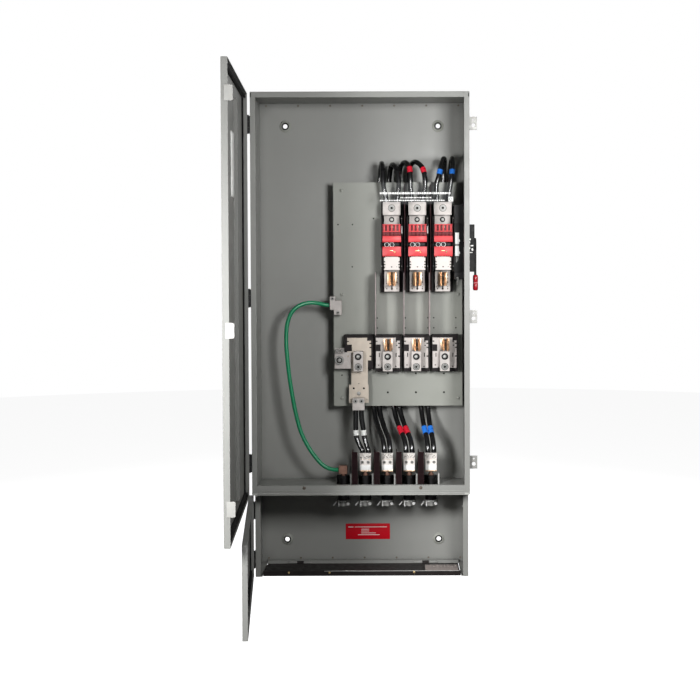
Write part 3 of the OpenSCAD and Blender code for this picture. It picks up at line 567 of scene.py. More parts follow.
def make_light():
    """Two soft boxes in front, two highlight strips, two lights behind and a dim surround."""
    area_light("key_right", (0.64, -2.0, 0.50), (-0.20, 0, 0.30), 0.40, 0.46, 12.2, spread=116)
    area_light("key_left", (-0.78, -2.0, 0.20), (0.25, 0, -0.75), 0.30, 0.45, 16.8, spread=112)
    for side in (-1, 1):
        strip = area_light(f"strip_{side}", (0.62 * side, -2.2, 0.1), (0, 0, 0), 0.08, 2.2, 1.8)
        strip.data.diffuse_factor = 0.0
    area_light("back_left", (-2.2, 2.4, 1.4), (0, 0, 0), 1.2, 1.2, 30)
    area_light("back_right", (2.2, 2.4, 1.2), (0, 0, 0), 1.2, 1.2, 30)
    world = bpy.data.worlds.new("surround")
    bpy.context.scene.world = world
    world.use_nodes = True
    tree = world.node_tree
    tree.nodes.clear()
    path = add_node(tree, "LightPath")
    glossy = add_node(tree, "MapRange", Value=path.outputs["Is Glossy Ray"])
    glossy.inputs["To Min"].default_value = 0.012
    glossy.inputs["To Max"].default_value = 0.14
    dim = add_node(tree, "Background", Color=(1.0, 1.0, 1.0, 1), Strength=glossy.outputs[0])
    bright = add_node(tree, "Background", Color=(1.0, 1.0, 1.0, 1), Strength=1.0)
    mix = add_node(tree, "MixShader")
    tree.links.new(path.outputs["Is Camera Ray"], mix.inputs[0])
    tree.links.new(dim.outputs[0], mix.inputs[1])
    tree.links.new(bright.outputs[0], mix.inputs[2])
    output = tree.nodes.new("ShaderNodeOutputWorld")
    tree.links.new(mix.outputs[0], output.inputs[0])


def make_floor():
    """A wide pale floor well below the switch, which hangs on a wall. It doesn't light the switch."""
    mesh = bmesh.new()
    add_lathe(mesh, disc(9000, 0, -4), (0, 0, BOTTOM - FLOOR_DROP), axis="z", segments=96)
    bmesh.ops.scale(mesh, vec=(MM, MM, MM), verts=mesh.verts)
    data = bpy.data.meshes.new("floor")
    mesh.to_mesh(data)
    mesh.free()
    floor = bpy.data.objects.new("floor", data)
    bpy.context.scene.collection.objects.link(floor)
    data.materials.append(LOOKS["floor"])
    floor.visible_diffuse = False
    floor.visible_glossy = False


# ---- carried CAD nodes ----

def dress(node, look, bevel):
    """Gives a carried CAD node its material, and rounds its edges with modifiers."""
    shown = frame["nodes"][node]
    data = shown.data
    data.materials.clear()
    data.materials.append(LOOKS[look])
    if "custom_normal" in data.attributes:
        data.attributes.remove(data.attributes["custom_normal"])
    data.shade_smooth()
    weld = shown.modifiers.new("weld", "WELD")
    weld.merge_threshold = 0.00001
    if bevel:
        flat = shown.modifiers.new("flat", "DECIMATE")
        flat.decimate_type = "DISSOLVE"
        flat.angle_limit = math.radians(2)
        edge = shown.modifiers.new("round", "BEVEL")
        edge.width = bevel * MM
        edge.segments = 2
        edge.limit_method = "ANGLE"
        edge.angle_limit = math.radians(SHARP_ANGLE)
        edge.harden_normals = True


def dress_nodes():
    """Materials and rounded edges of every CAD node that shows."""
    for nodes, look, bevel in (
            (("back_panel", "left_wall", "right_wall", "top_panel", "divider_shelf"), "paint", 0.7),
            (("bottom_frame",), "paint", 0.4),
            (("mounting_pan",), "pan_paint", 0.6),
            (("upper_door_pan",), "door_paint", 1.0),
            (("lower_door_pan",), "low_door_paint", 1.0),
            (("door_stiffener",), "door_paint", 0.4),
            (("hasp_tabs", "door_hasps"), "zinc", 0.4),
            (("wall_hinge_leaves", "upper_door_hinges", "lower_door_hinges"), "black_steel", 0.3),
            (("pan_standoffs", "flap_hinge_pin"), "zinc", 0.3),
            (("pole_bases", "insulator_bases"), "base_plastic", 0.8),
            (("receptacles",), "black_plastic", 0.6),
            (("cross_shaft",), "black_plastic", 0.4),
            (("line_contacts", "cable_lugs", "load_contacts", "load_plates"), "tin", 0.35),
            (("neutral_bar",), "cream_tin", 0.35),
            (("neutral_lug", "bonding_strap", "ground_lug"), "tin", 0.5),
            (("receptacle_lugs",), "pale_tin", 0.5),
            (("receptacle_rings",), "zinc", 0.4),
            (("barrier_posts",), "bright", 0.4),
            (("receptacle_studs",), "brown", 0.3),
            (("moving_blades",), "copper", 0.3),
            (("load_blocks",), "cream", 0.9),
            (("pole_barriers", "receptacle_barriers"), "fibre", 0.3),
            (("fuse_barriers",), "fin", 0.3),
            (("upper_door_gasket", "lower_door_gasket"), "foam", 0),
            (("document_pocket",), "paper", 0.4),
            (("mechanism_frame", "handle_plate"), "black_steel", 0.6),
            (("cable_flap",), "bronze", 0.4)):
        for node in nodes:
            dress(node, look, bevel)


# ---- enclosure details ----

def weld_spots():
    """Spot-weld dimples along the enclosure's seams."""
    mesh = bmesh.new()
    dimple = [(0, -0.3), (3.0, -0.3), (3.0, 0.15), (2.2, 0.45), (1.4, 0.1), (0, 0.0)]
    for i in range(7):
        add_lathe(mesh, dimple, (WALL_LEFT + 21 + 97 * i, BACK, TOP - 9), segments=18)
        add_lathe(mesh, dimple, (WALL_LEFT + 22 + 97.5 * i, BACK, BOTTOM + 13), segments=18)
    for side, wall in ((1, WALL_LEFT + 2), (-1, WALL_RIGHT - 2)):
        for i in range(9):
            place = Matrix.Translation((wall, -100, TOP - 136 - 103 * i))
            mirror = Matrix.Scale(side, 4, (1, 0, 0))
            add_lathe(mesh, dimple, (0, 0, 0), axis="x", segments=18, turn=place @ mirror)
    piece("weld_spots", mesh, "weld")


def wall_dimples():
    """Pressed rings round the four wall holes, with dark rims of painted shade at their edges."""
    rings = bmesh.new()
    rims = bmesh.new()
    profile = [(11.0, -2.0), (11.0, 3.7), (11.8, 4.1), (14.0, 3.3), (16.5, 1.2), (18.0, 0.1),
               (18.0, -0.4)]
    edge = [(7.1, -1.9), (7.1, 2.9), (7.5, 3.3), (10.2, 3.8), (11.0, 3.6), (11.0, -1.9)]
    holes = frame["record"]["mounts"][0]["dims"]
    for x in (-holes["spacing_x_mm"] / 2, holes["spacing_x_mm"] / 2):
        for z in (-holes["spacing_y_mm"] / 2, holes["spacing_y_mm"] / 2):
            for mesh, line in ((rings, profile), (rims, edge)):
                add_ring(mesh, line, (x, BACK, z))
    piece("wall_hole_dimples", rings, "pan_paint")
    # The dark rims are painted shade at the holes' edges.
    piece("wall_hole_rims", rims, "painted_hole_shade")


def panel_screws():
    """Screws that hold the mounting pan, and the two on the shelf's upstand."""
    mesh = bmesh.new()
    low, high = box("pan_standoffs")
    left, right, bottom, top, middle = low.x + 6, high.x - 6, low.z + 6, high.z - 6, 120
    for x, z in ((left, top), (left, middle), (left, bottom), (175, top), (right, middle),
                 (right, bottom)):
        add_pan_screw(mesh, x, PAN_FACE, z, 5, 2.8)
    piece("pan_screws", mesh, "pan_paint", replaces=["panel_screws"])
    mesh = bmesh.new()
    for x in (-162, 170):
        add_lathe(mesh, [(0, -1), (5, -1), (5, 0.2), (0, 0.4)], (x, FRONT, SHELF + 19), segments=20)
        add_pan_screw(mesh, x, FRONT - 0.3, SHELF + 19, 3.6, 2.2)
    piece("shelf_screws", mesh, "weld")


def seam_lines():
    """Folds along the enclosure's front, the shelf edge's lip painted lighter as a highlight, and two bumpers."""
    mesh = bmesh.new()
    add_box(mesh, (WALL_LEFT + 15, FRONT - 0.8, SHELF + 9.2),
            (WALL_RIGHT - 15, FRONT + 0.4, SHELF + 11.4), 0.4)
    add_box(mesh, (WALL_LEFT + 16, FRONT + 12.2, SHELF + 17),
            (WALL_RIGHT - 16, FRONT + 14, SHELF + 26), 0.5)
    piece("shelf_fold", mesh, "lip_paint")
    # The shelf's lip in the lighter paint: a painted highlight.
    mesh = bmesh.new()
    add_box(mesh, (WALL_LEFT + 2, FRONT - 1.0, SHELF - 1.6), (WALL_RIGHT - 2, FRONT + 1, SHELF + 4.4), 0.6)
    piece("shelf_lip", mesh, "lip_painted_highlight")
    mesh = bmesh.new()
    for side, wall in ((1, WALL_LEFT), (-1, WALL_RIGHT)):
        near, far = wall + side * 13.4, wall + side * 15.2
        add_box(mesh, (near, FRONT + 1.6, SHELF + 28), (far, FRONT + 13, TOP - 18), 0.5)
        add_box(mesh, (near, LOW_FRONT + 1.6, BOTTOM + 20), (far, LOW_FRONT + 11, SHELF - 3), 0.5)
    add_box(mesh, (WALL_LEFT + 17, FRONT + 1.6, TOP - 16.4), (WALL_RIGHT - 17, FRONT + 13, TOP - 14.6), 0.5)
    piece("folded_returns", mesh, "paint")
    mesh = bmesh.new()
    for x in (WALL_LEFT + 0.2, WALL_RIGHT - 3.2):
        add_box(mesh, (x, FRONT - 1.5, TOP - 15), (x + 3, FRONT + 2, TOP - 4), 0.9)
    piece("corner_bumpers", mesh, "foam")


def lower_catches():
    """Two small steel catches on the right wall of the lower compartment."""
    mesh = bmesh.new()
    for z, depth in ((-496, 15), (-538, 9)):
        add_box(mesh, (WALL_RIGHT - 2 - depth, -162, z - 2), (WALL_RIGHT - 2, -150, z), 0.5)
        add_box(mesh, (WALL_RIGHT - 4, -166, z - 9), (WALL_RIGHT - 2, -146, z + 7), 0.5)
        add_lathe(mesh, rounded(2.4, 2.4, 0.8), (0, 0, 0), axis="x", segments=16,
                  turn=Matrix.Translation((WALL_RIGHT - 4, -156, z + 3)) @ Matrix.Scale(-1, 4, (1, 0, 0)))
    piece("lower_catches", mesh, "zinc")


def lower_label():
    """A plain red plate with a white border line and blank white bars."""
    low, high = box("label_plate")
    mesh = bmesh.new()
    add_box(mesh, low, (high.x, BACK, high.z), 0.35)
    piece("lower_label", mesh, "label_red", replaces=["label_plate"])
    mesh = bmesh.new()
    front = low.y - 0.12
    middle = (low.x + high.x) / 2
    for left, right, z, tall in ((-60, -44, 13.5, 2.2), (-40, 58, 13.5, 1.6), (-20, 4, 6.5, 1.4),
                                 (-20, 4, 1.0, 1.4), (-20, 24, -5.0, 1.4), (-30, 36, -10.5, 1.6)):
        add_box(mesh, (middle + left, front, low.z + 24 + z - tall / 2),
                (middle + right, low.y + 0.1, low.z + 24 + z + tall / 2), 0.05)
    piece("lower_label_bars", mesh, "print_and_highlight_white")


# ---- poles ----

def fasteners():
    """Set screws of every lug and the terminal bolts."""
    screws = bmesh.new()
    sockets = bmesh.new()
    places = [(x, LUG_FACE, LINE_SCREW_Z, 9.5, 3.2) for x in POLES]
    places += [(x, LOAD_LUG_FACE, LOAD_SCREW_Z, 9.0, 3.2) for x in [NEUTRAL_X] + BASES]
    places += [(NEUTRAL_X + dx, -125, -192, 6.5, 2.2) for dx in (-8.2, 9.2)]
    places += [(x + side * 8.5, SOCKET_LUG_FACE, -370, 4.4, 1.8) for x in SOCKETS[1:] for side in (-1, 1)]
    places += [(-86, GROUND_LUG_FACE, 109, 5.0, 2.4), (-70, GROUND_LUG_FACE, 68, 5.0, 2.4)]
    for x, y, z, radius, rise in places:
        add_set_screw(screws, x, y, z, radius, rise)
        # A dark hexagon in each socket: painted shade of its recess.
        add_lathe(sockets, disc(radius * 0.38, rise - 0.5, rise - 2.6), (x, y, z), segments=6)
    piece("set_screws", screws, "zinc", replaces=["lug_screws"])
    piece("set_screw_sockets", sockets, "painted_hole_shade")
    bolts = bmesh.new()
    rims = bmesh.new()
    for x in POLES:
        add_hex_bolt(bolts, x, LINE_FACE, LINE_BOLT_Z, 8, 5)
        # Dark rings round the bolts and set screws: painted shade of their gaps.
        add_ring(rims, [(4.7, 1.0), (4.7, 2.2), (7.6, 1.4), (7.6, 0)], (x, LINE_FACE, LINE_BOLT_Z))
        add_ring(rims, washer(9.7, 10.6, 0, 0.7), (x, LUG_FACE, LINE_SCREW_Z))
    for x in [NEUTRAL_X] + BASES:
        add_hex_bolt(bolts, x - 1, LOAD_LUG_FACE, LOAD_BOLT_Z, 9, 5)
        add_ring(rims, [(5.2, 1.0), (5.2, 2.6), (9.8, 1.6), (9.8, 0)], (x, LOAD_LUG_FACE, LOAD_BOLT_Z))
        add_ring(rims, washer(9.2, 10.4, 0, 0.7), (x, LOAD_LUG_FACE, LOAD_SCREW_Z))
        add_ring(rims, washer(5.2, 6.2, 2.2, 3.3), (x, LOAD_LUG_FACE, LOAD_SCREW_Z))
    add_hex_bolt(bolts, NEUTRAL_X + 1, PLATE_FACE, -172, 9, 4)
    piece("terminal_hex_bolts", bolts, "zinc", replaces=["terminal_bolts"])
    piece("bolt_shade_rings", rims, "black_steel")


def painted_hole_shades():
    """Painted shade: dark insides of the small holes in the pan, contacts and plates, and of the blocks' notches.
    """
    mesh = bmesh.new()
    drilled = ((-70, 329), (-27, 329), (36, 347), (-28, 203), (-60, -121))
    holes = [(x, z, PAN_FACE + 1.0, 2.2) for x, z in drilled]
    holes += [(x, z, PAN_FACE + 1.0, 3.0) for x in BASES for z in (-116, -173)]
    holes += [(x, z, PAN_FACE + 1.0, 2.0) for x in (46, 130, 197, 215, 281) for z in (20, 50)]
    for x in POLES:
        holes += [(x, 143.5, CLIP_FACE - 0.2, 2.4), (x - 19, 143.5, CLIP_FACE - 0.2, 1.2),
                  (x - 16, 154, CLIP_FACE - 0.2, 1.2)]
        holes += [(x + 15, z, CLIP_FACE - 0.2, 1.4) for z in (143.5, 156, 169)]
        holes += [(x - 1, 203, CLIP_FACE - 45.2, 1.6), (x + 14, 203, CLIP_FACE - 45.2, 1.0)]
    block_low, block_high = box("load_blocks")
    reach = block_high.x - POLES[2]
    for x in POLES:
        for share, depth in ((0.97, 4), (0.62, 3), (0.40, 4.5), (0.16, 3)):
            z = block_low.z + share * (block_high.z - block_low.z)
            for side in (-1, 1):
                add_box(mesh, (x + side * (reach + 0.3), block_low.y - 0.4, z - 1.6),
                        (x + side * (reach - depth), block_low.y + 0.4, z + 1.6), 0.2)
    for x, z, y, radius in holes:
        add_lathe(mesh, disc(radius, 0, -1), (x, y, z), segments=18)
    for x in BASES:
        for dx in (-25, 25):
            add_box(mesh, (x + dx - 1.3, PLATE_FACE - 0.4, -64),
                    (x + dx + 1.3, PLATE_FACE + 0.2, -52), 0.2)
        for dx, z in ((-27, -88), (-18, -95), (24, -92), (27, -30), (26, -18)):
            add_box(mesh, (x + dx - 2, PLATE_FACE - 0.4, z - 1.4),
                    (x + dx + 2, PLATE_FACE + 0.2, z + 1.4), 0.2)
    piece("painted_hole_shades", mesh, "painted_hole_shade")


def arc_chutes():
    """Arc chute of each pole: a ribbed face in two rows, cheeks and a roof. The body, cheeks and roof are a
    darkened red, painted shade between the lighter ribs and in the lower row's pockets.
    """
    dark = bmesh.new()
    ribs = bmesh.new()
    tabs = bmesh.new()
    low, high = box("arc_chutes")
    floor = low.z
    half = COVER_WIDTH / 2
    back = -155
    for x in POLES:
        add_box(dark, (x - 25, back - 1, floor), (x + 25, back + 2, high.z - 1), 0.5)
        add_box(dark, (x - 25, back - 1, high.z - 3), (x + 25, LINE_FACE - 4, high.z), 0.6)
        for side in (-1, 1):
            add_box(dark, (x + side * 24, back - 3, floor), (x + side * half, high.y, high.z), 0.8)
        for i in range(5):
            middle = x - 22 + 11 * i
            add_box(ribs, (middle - 2.2, CHUTE_FACE, floor + 14),
                    (middle + 2.2, back, high.z - 1.5), 0.9)
            add_box(dark, (middle - 2.6, CHUTE_FACE + 0.6, floor),
                    (middle + 2.6, back, floor + 11), 0.8)
        add_box(ribs, (x - 26, back - 4.5, floor + 11.5), (x + 26, back, floor + 14.5), 0.7)
        add_box(ribs, (x - 26.5, back - 3.5, high.z - 2.5), (x + 26.5, back + 2, high.z), 0.6)
        add_box(tabs, (x - 3, back - 5.6, high.z - 11), (x + 4, back, high.z - 4.5), 0.6)
    piece("arc_chute_bodies", dark, "red_painted_shade", replaces=["arc_chutes"])
    piece("arc_chute_ribs", ribs, "red")
    piece("arc_chute_tabs", tabs, "brown")


def cheek_outline(front, back, low, high, notch_low):
    """Side of a cover in (y, z), cut round the blade shaft on its upper or lower edge."""
    radius = 10.5
    edge = low if notch_low else high
    half = math.sqrt(max(radius ** 2 - (edge - SHAFT.z) ** 2, 0.0))
    start = math.atan2(edge - SHAFT.z, -half)
    end = math.atan2(edge - SHAFT.z, half)
    if not notch_low:
        end, start = end % (2 * math.pi), start % (2 * math.pi)
    arc = []
    for i in range(9):
        angle = start + (end - start) * i / 8
        arc.append((SHAFT.y + radius * math.cos(angle), SHAFT.z + radius * math.sin(angle)))
    if notch_low:
        return [(front, high), (front, low)] + arc + [(back, low), (back, high)]
    return [(front, low), (front, high)] + arc + [(back, high), (back, low)]


def chute_covers():
    """Smooth covers above and below the blade shaft; the lower one has a toothed edge."""
    mesh = bmesh.new()
    screws = bmesh.new()
    low, high = box("chute_covers")
    front, back = low.y, high.y
    half = COVER_WIDTH / 2
    teeth = 9
    tooth = COVER_WIDTH / teeth
    for x in POLES:
        add_box(mesh, (x - half, front, 275), (x + half, front + COVER_THICK, 293), 1.1)
        outline = [(x - half, 262), (x - half, 235)]
        for i in range(teeth):
            left = x - half + tooth * i
            outline += [(left + tooth / 2, 232.5), (left + tooth, 235.2)]
        outline += [(x + half, 262)]
        add_prism(mesh, outline, front, front + COVER_THICK, bevel=0.7)
        for side in (-1, 1):
            inner, outer = sorted((x + side * 24, x + side * half))
            add_prism(mesh, cheek_outline(front + 2, back, 235, 262, False), inner, outer, axis="x")
            add_prism(mesh, cheek_outline(front + 2, back, 275, 293, True), inner, outer, axis="x")
        add_pan_screw(screws, x + 8.5, front, 246, 2.6, 1.6, slot=False)
        add_box(screws, (x - 6, front - 0.5, 249), (x + 4, front + 0.5, 251), 0.2)
    piece("blade_covers", mesh, "red", replaces=["chute_covers"])
    piece("cover_screws", screws, "brass")


def shaft_caps():
    """Round caps on the blade shaft, seen between the covers."""
    mesh = bmesh.new()
    rims = bmesh.new()
    front = SHAFT.y - 20
    for x in POLES:
        add_box(mesh, (x - 22.5, front, SHAFT.z - 6), (x + 22.5, front + 10, SHAFT.z + 6), 1.2)
        for i, dx in enumerate((-14.5, 0.5, 15.5)):
            add_lathe(mesh, rounded(5.8, 4, 1.2, base=-2), (x + dx, front, SHAFT.z), segments=28)
            if i < 2:
                add_ring(rims, washer(5.6, 6.7, 2.2, 3.4), (x + dx, front, SHAFT.z))
    piece("shaft_caps", mesh, "black_plastic", "blade_shaft")
    piece("shaft_cap_rims", rims, "print_and_highlight_white", "blade_shaft")


def add_strip(mesh, path, thick, low, high):
    """A bent strip: a path in (x, y) given a thickness and extruded in height."""
    left, right = [], []
    for i, point in enumerate(path):
        before = Vector(path[max(i - 1, 0)])
        after = Vector(path[min(i + 1, len(path) - 1)])
        ahead = (after - before).normalized()
        side = Vector((-ahead.y, ahead.x)) * thick / 2
        left.append(tuple(Vector(point) + side))
        right.append(tuple(Vector(point) - side))
    add_prism(mesh, left + right[::-1], low, high, axis="z")


JAW_BEND = ((4.9, 0), (4.8, -10), (4.2, -18), (3.4, -25), (3.0, -28.5), (3.8, -31.5), (6.2, -35),
            (8.6, -37.4))
SPRING_BEND = ((-7.2, -8), (-6.8, -22), (-4.5, -24.5), (4.5, -24.5), (6.8, -22), (7.2, -8))


def fuse_jaws():
    """Sprung copper jaws for the fuse blades, in leaves, with their wire springs."""
    jaws = bmesh.new()
    springs = bmesh.new()
    places = [(x, CLIP_FACE, 147, 188) for x in POLES] + [(x + 2, PLATE_FACE, -44, -9) for x in BASES]
    for x, face, low, high in places:
        tall = (high - low) / 3
        for side in (-1, 1):
            add_box(jaws, (x + side * 4, face - 3, low + 1), (x + side * 13, face, high - 1), 0.5)
            path = smooth_path([(x + side * a, face + b, 0) for a, b in JAW_BEND], 3)
            for leaf in range(3):
                start = low + leaf * tall
                add_strip(jaws, [(p.x, p.y) for p in path], 1.9, start + 0.4, start + tall - 0.4)
        for z in (low + tall * 0.8, high - tall * 0.8):
            add_tube(springs, smooth_path([(x + a, face + b, z) for a, b in SPRING_BEND], 4), 1.1, 10)
    piece("fuse_jaws", jaws, "copper", replaces=["fuse_clips"])
    piece("jaw_springs", springs, "zinc")


def pole_hardware():
    """Screws and tabs between the poles."""
    mesh = bmesh.new()
    tabs = bmesh.new()
    for x in POLES:
        for dx, z in ((29.4, 344), (29.4, 205), (-29.4, 205)):
            add_pan_screw(mesh, x + dx, -150, z, 1.7, 1.4, slot=False)
    for x in POLES[:2]:
        add_box(tabs, (x + 27.9, -151.5, 300), (x + 31, -149.8, 322), 0.4)
    piece("base_screws", mesh, "zinc")
    piece("base_tabs", tabs, "print_and_highlight_white")


def line_shield():
    """Clear sheet in front of the line lugs, bent back along its top, with blank white bars."""
    low, high = box("line_shield")
    mesh = bmesh.new()
    bend = [(low.y, low.z), (low.y, high.z - 4)]
    bend += [(low.y + 4 - 4 * math.cos(a), high.z - 4 + 4 * math.sin(a)) for a in (0.4, 0.8, 1.2)]
    bend += [(low.y + 4, high.z), (high.y, high.z), (high.y, high.z - 2), (low.y + 4, high.z - 2)]
    bend += [(low.y + 4 - 2 * math.cos(a), high.z - 4 + 2 * math.sin(a)) for a in (1.2, 0.8, 0.4)]
    bend += [(low.y + 2, high.z - 4), (low.y + 2, low.z)]
    add_prism(mesh, bend, low.x, high.x, axis="x")
    piece("line_shield_sheet", mesh, "shield", replaces=["line_shield"])
    mesh = bmesh.new()
    draw = random.Random(5)
    width = high.x - low.x
    rows = ((31.6, 5.6, 0.0, 0.97), (18.8, 3.0, 0.28, 0.72), (10.8, 3.4, 0.0, 0.90))
    for rise, tall, start, end in rows:
        x = low.x + width * start
        while x < low.x + width * end - 4:
            stop = min(x + draw.uniform(2.5, 7), low.x + width * end)
            add_box(mesh, (x, low.y - 0.15, low.z + rise - tall / 2),
                    (stop, low.y + 0.05, low.z + rise + tall / 2), 0.05)
            x = stop + draw.uniform(1.0, 1.9)
    add_box(mesh, (high.x - 14, low.y - 0.2, low.z + 7.6), (high.x - 1, low.y + 0.05, low.z + 21), 0.05)
    piece("shield_bars", mesh, "print_and_highlight_white")
    mesh = bmesh.new()
    add_ring(mesh, washer(3.0, 4.4, 0, 0.6), (high.x - 7.5, low.y, low.z + 14.3), segments=28)
    for x in (low.x + 7, low.x + width / 3, low.x + 2 * width / 3):
        add_ring(mesh, washer(2.2, 3.2, 0, 0.5), (x, low.y, low.z + 22), segments=24)
    piece("shield_eyelets", mesh, "black_steel")


# ---- receptacles ----

def receptacle_details():
    """Ribbed caps, marks, white fronts, copper edges, nuts and flanges of the receptacles."""
    ribs = bmesh.new()
    fronts = bmesh.new()
    edges = bmesh.new()
    nuts = bmesh.new()
    for x in SOCKETS[1:]:
        for i in range(11):
            place = (x - 15.5 + 3.1 * i, -140.4, -361.5)
            add_lathe(ribs, rounded(1.5, 17, 0.6), place, axis="z", segments=10)
        add_box(fronts, (x - 16.2, -143.6, -393.5), (x + 16.2, -141.8, -378.5), 0.6)
        add_box(edges, (x - 17, -141.2, -363.4), (x + 17, -139, -360.8), 0.4)
        add_box(edges, (x - 17, -143.8, -397.5), (x + 17, -138, -393.8), 0.6)
    for x in SOCKETS:
        nut = [(0, 0), (7.6, 0), (8.2, 0.8), (8.2, 5.2), (7.6, 6), (0, 6)]
        add_lathe(nuts, nut, (x, SOCKET_Y, -411), axis="z", segments=6)
        add_lathe(nuts, rounded(3.6, 4, 1.2), (x, -130.5, -403), segments=18)
    piece("lug_cap_ribs", ribs, "pale_tin")
    draw = random.Random(8)
    marks = bmesh.new()
    for x in SOCKETS[1:]:
        for i in range(16):
            place = (x - 15 + 2 * i, -141.7, -349 + draw.uniform(-8, 3))
            add_lathe(marks, rounded(draw.uniform(0.8, 1.3), 0.5, 0.2), place, segments=10)
    piece("lug_cap_marks", marks, "weld")
    piece("lug_fronts", fronts, "print_and_highlight_white")
    piece("lug_edges", edges, "copper")
    piece("stud_nuts", nuts, "brown")
    flanges = bmesh.new()
    for x in SOCKETS:
        add_box(flanges, (x - 21, SOCKET_Y + 20, SHELF + 2), (x + 21, SOCKET_Y + 24, -414), 1.5)
    piece("socket_flanges", flanges, "black_plastic")


def receptacle_locks():
    """Locking tabs under the shelf, round each receptacle's mouth, painted white as their highlights."""
    mesh = bmesh.new()
    for x in SOCKETS:
        front = SOCKET_Y - 21
        add_box(mesh, (x - 15, front - 3, -499), (x - 12, front + 4, -482), 0.5)
        add_box(mesh, (x - 12.4, front - 2.4, -486), (x + 8, front - 0.4, -483), 0.4)
        add_lathe(mesh, rounded(4.6, 3.6, 1.4), (x + 13, front + 1.5, -491), segments=20)
        slant = Matrix.Translation((x - 25, front + 3, -491)) @ Matrix.Rotation(math.radians(38), 4, "Y")
        add_box(mesh, (-1.4, -1.5, -7), (1.4, 1.5, 7), 0.5, turn=slant)
    piece("receptacle_locks", mesh, "print_and_highlight_white")


# ---- mechanism and handle ----

def mechanism_details():
    """The mechanism's black cover, with blank white plates and thin links on it."""
    low, high = box("mechanism_frame")
    cover = bmesh.new()
    add_box(cover, (low.x - 1, low.y - 1.5, 186), (high.x, low.y + 1, 330), 1.2)
    piece("mechanism_cover", cover, "black_steel")
    plates = bmesh.new()
    for top, bottom in ((302, 269), (263, 234)):
        add_box(plates, (low.x + 2, low.y - 2.4, bottom), (low.x + 13, low.y - 1, top), 0.4)
        add_box(plates, (low.x + 13, low.y - 2.4, bottom + 6), (low.x + 15.5, low.y - 1, bottom + 13), 0.3)
    piece("mechanism_plates", plates, "print_and_highlight_white")
    links = bmesh.new()
    for dx, z0, z1 in ((5, 216, 233), (9, 219, 231)):
        ends = [Vector((low.x + dx, low.y - 2, z0)), Vector((low.x + dx + 1, low.y - 2, z1))]
        add_tube(links, ends, 0.9, 10)
    helix = [Vector((low.x + 9 + 3.2 * math.cos(a), low.y - 3.4 + 3.2 * math.sin(a), 150 + a * 0.62))
             for a in (2 * math.pi * k / 12 for k in range(12 * 6))]
    add_tube(links, helix, 0.7, 8)
    add_box(links, (low.x + 3, low.y - 2, 264), (low.x + 12, low.y - 1, 267.5), 0.4)
    piece("mechanism_links", links, "zinc")


def handle():
    """Lever with a round hub, a dipped red grip and its lighter band."""
    low_x = box("handle_lever")[1].x - 6
    grip_low, grip_high = box("handle_grip")
    mesh = bmesh.new()
    start_x = WALL_RIGHT - 13
    hub = [(0, 0), (19, 0), (19, 4.4), (17.6, 5.4), (11, 5.6), (9.4, 6), (6, 6), (0, 6)]
    add_lathe(mesh, hub, (low_x, SHAFT.y, SHAFT.z), axis="x", segments=48)
    spindle = low_x + 1 - start_x
    add_lathe(mesh, disc(8, spindle), (start_x, SHAFT.y, SHAFT.z), axis="x", segments=32)
    bar = [(-9.5, SHAFT.z + 2), (-9, SHAFT.z - 30), (-7.5, grip_high.z + 8), (-7.5, grip_low.z + 12),
           (7.5, grip_low.z + 12), (7.5, grip_high.z + 8), (9, SHAFT.z - 30), (9.5, SHAFT.z + 2)]
    add_prism(mesh, [(SHAFT.y + y, z) for y, z in bar], low_x, low_x + 6, axis="x", bevel=0.8)
    piece("handle_arm", mesh, "black_steel", "handle", replaces=["handle_lever"])
    mesh = bmesh.new()
    middle = (grip_low + grip_high) / 2
    half = (grip_high - grip_low) / 2
    rows = [(-1.0, 0.62), (-0.93, 0.86), (-0.80, 0.97), (-0.4, 1.0), (-0.12, 0.94), (-0.07, 0.90),
            (0.07, 0.90), (0.12, 0.94), (0.5, 1.0), (0.82, 0.95), (0.94, 0.84), (1.0, 0.60)]
    add_rounded_column(mesh, middle, half, rows)
    piece("grip_sleeve", mesh, "grip", "handle", replaces=["handle_grip"])
    mesh = bmesh.new()
    add_rounded_column(mesh, middle, half, [(-0.085, 0.90), (-0.07, 0.955), (0.07, 0.955), (0.085, 0.90)])
    piece("grip_band", mesh, "grip_band", "handle")


def add_rounded_column(mesh, middle, half, rows, sides=32, power=3.2):
    """Upright column of superellipse sections; rows are (height share, width share)."""
    rings = []
    for share, width in rows:
        ring = []
        for k in range(sides):
            angle = 2 * math.pi * k / sides
            c, s = math.cos(angle), math.sin(angle)
            x = math.copysign(abs(c) ** (2 / power), c) * half.x * width
            y = math.copysign(abs(s) ** (2 / power), s) * half.y * width
            ring.append(mesh.verts.new((middle.x + x, middle.y + y, middle.z + share * half.z)))
        rings.append(ring)
    skin(mesh, rings)


def handle_plate_details():
    """Bright bracket edges and two screws on the handle's black housing."""
    low, high = box("handle_plate")
    mesh = bmesh.new()
    for dx, z, wide, tall in ((3, 280, 7, 5), (5, 271, 3, 6), (9, 262, 8, 4), (4, 254, 4, 5),
                              (12, 249, 5, 7), (6, 243, 9, 2.5), (2, 217, 5, 3)):
        x = WALL_RIGHT + dx
        add_box(mesh, (x, low.y - 0.8, z), (x + wide, low.y + 0.4, z + tall), 0.3)
    for z in (300, 236):
        add_lathe(mesh, rounded(4, 1, 0.4), (high.x - 0.4, SHAFT.y + 20, z), axis="x", segments=20)
    piece("handle_plate_hardware", mesh, "bright")


# ---- cables ----

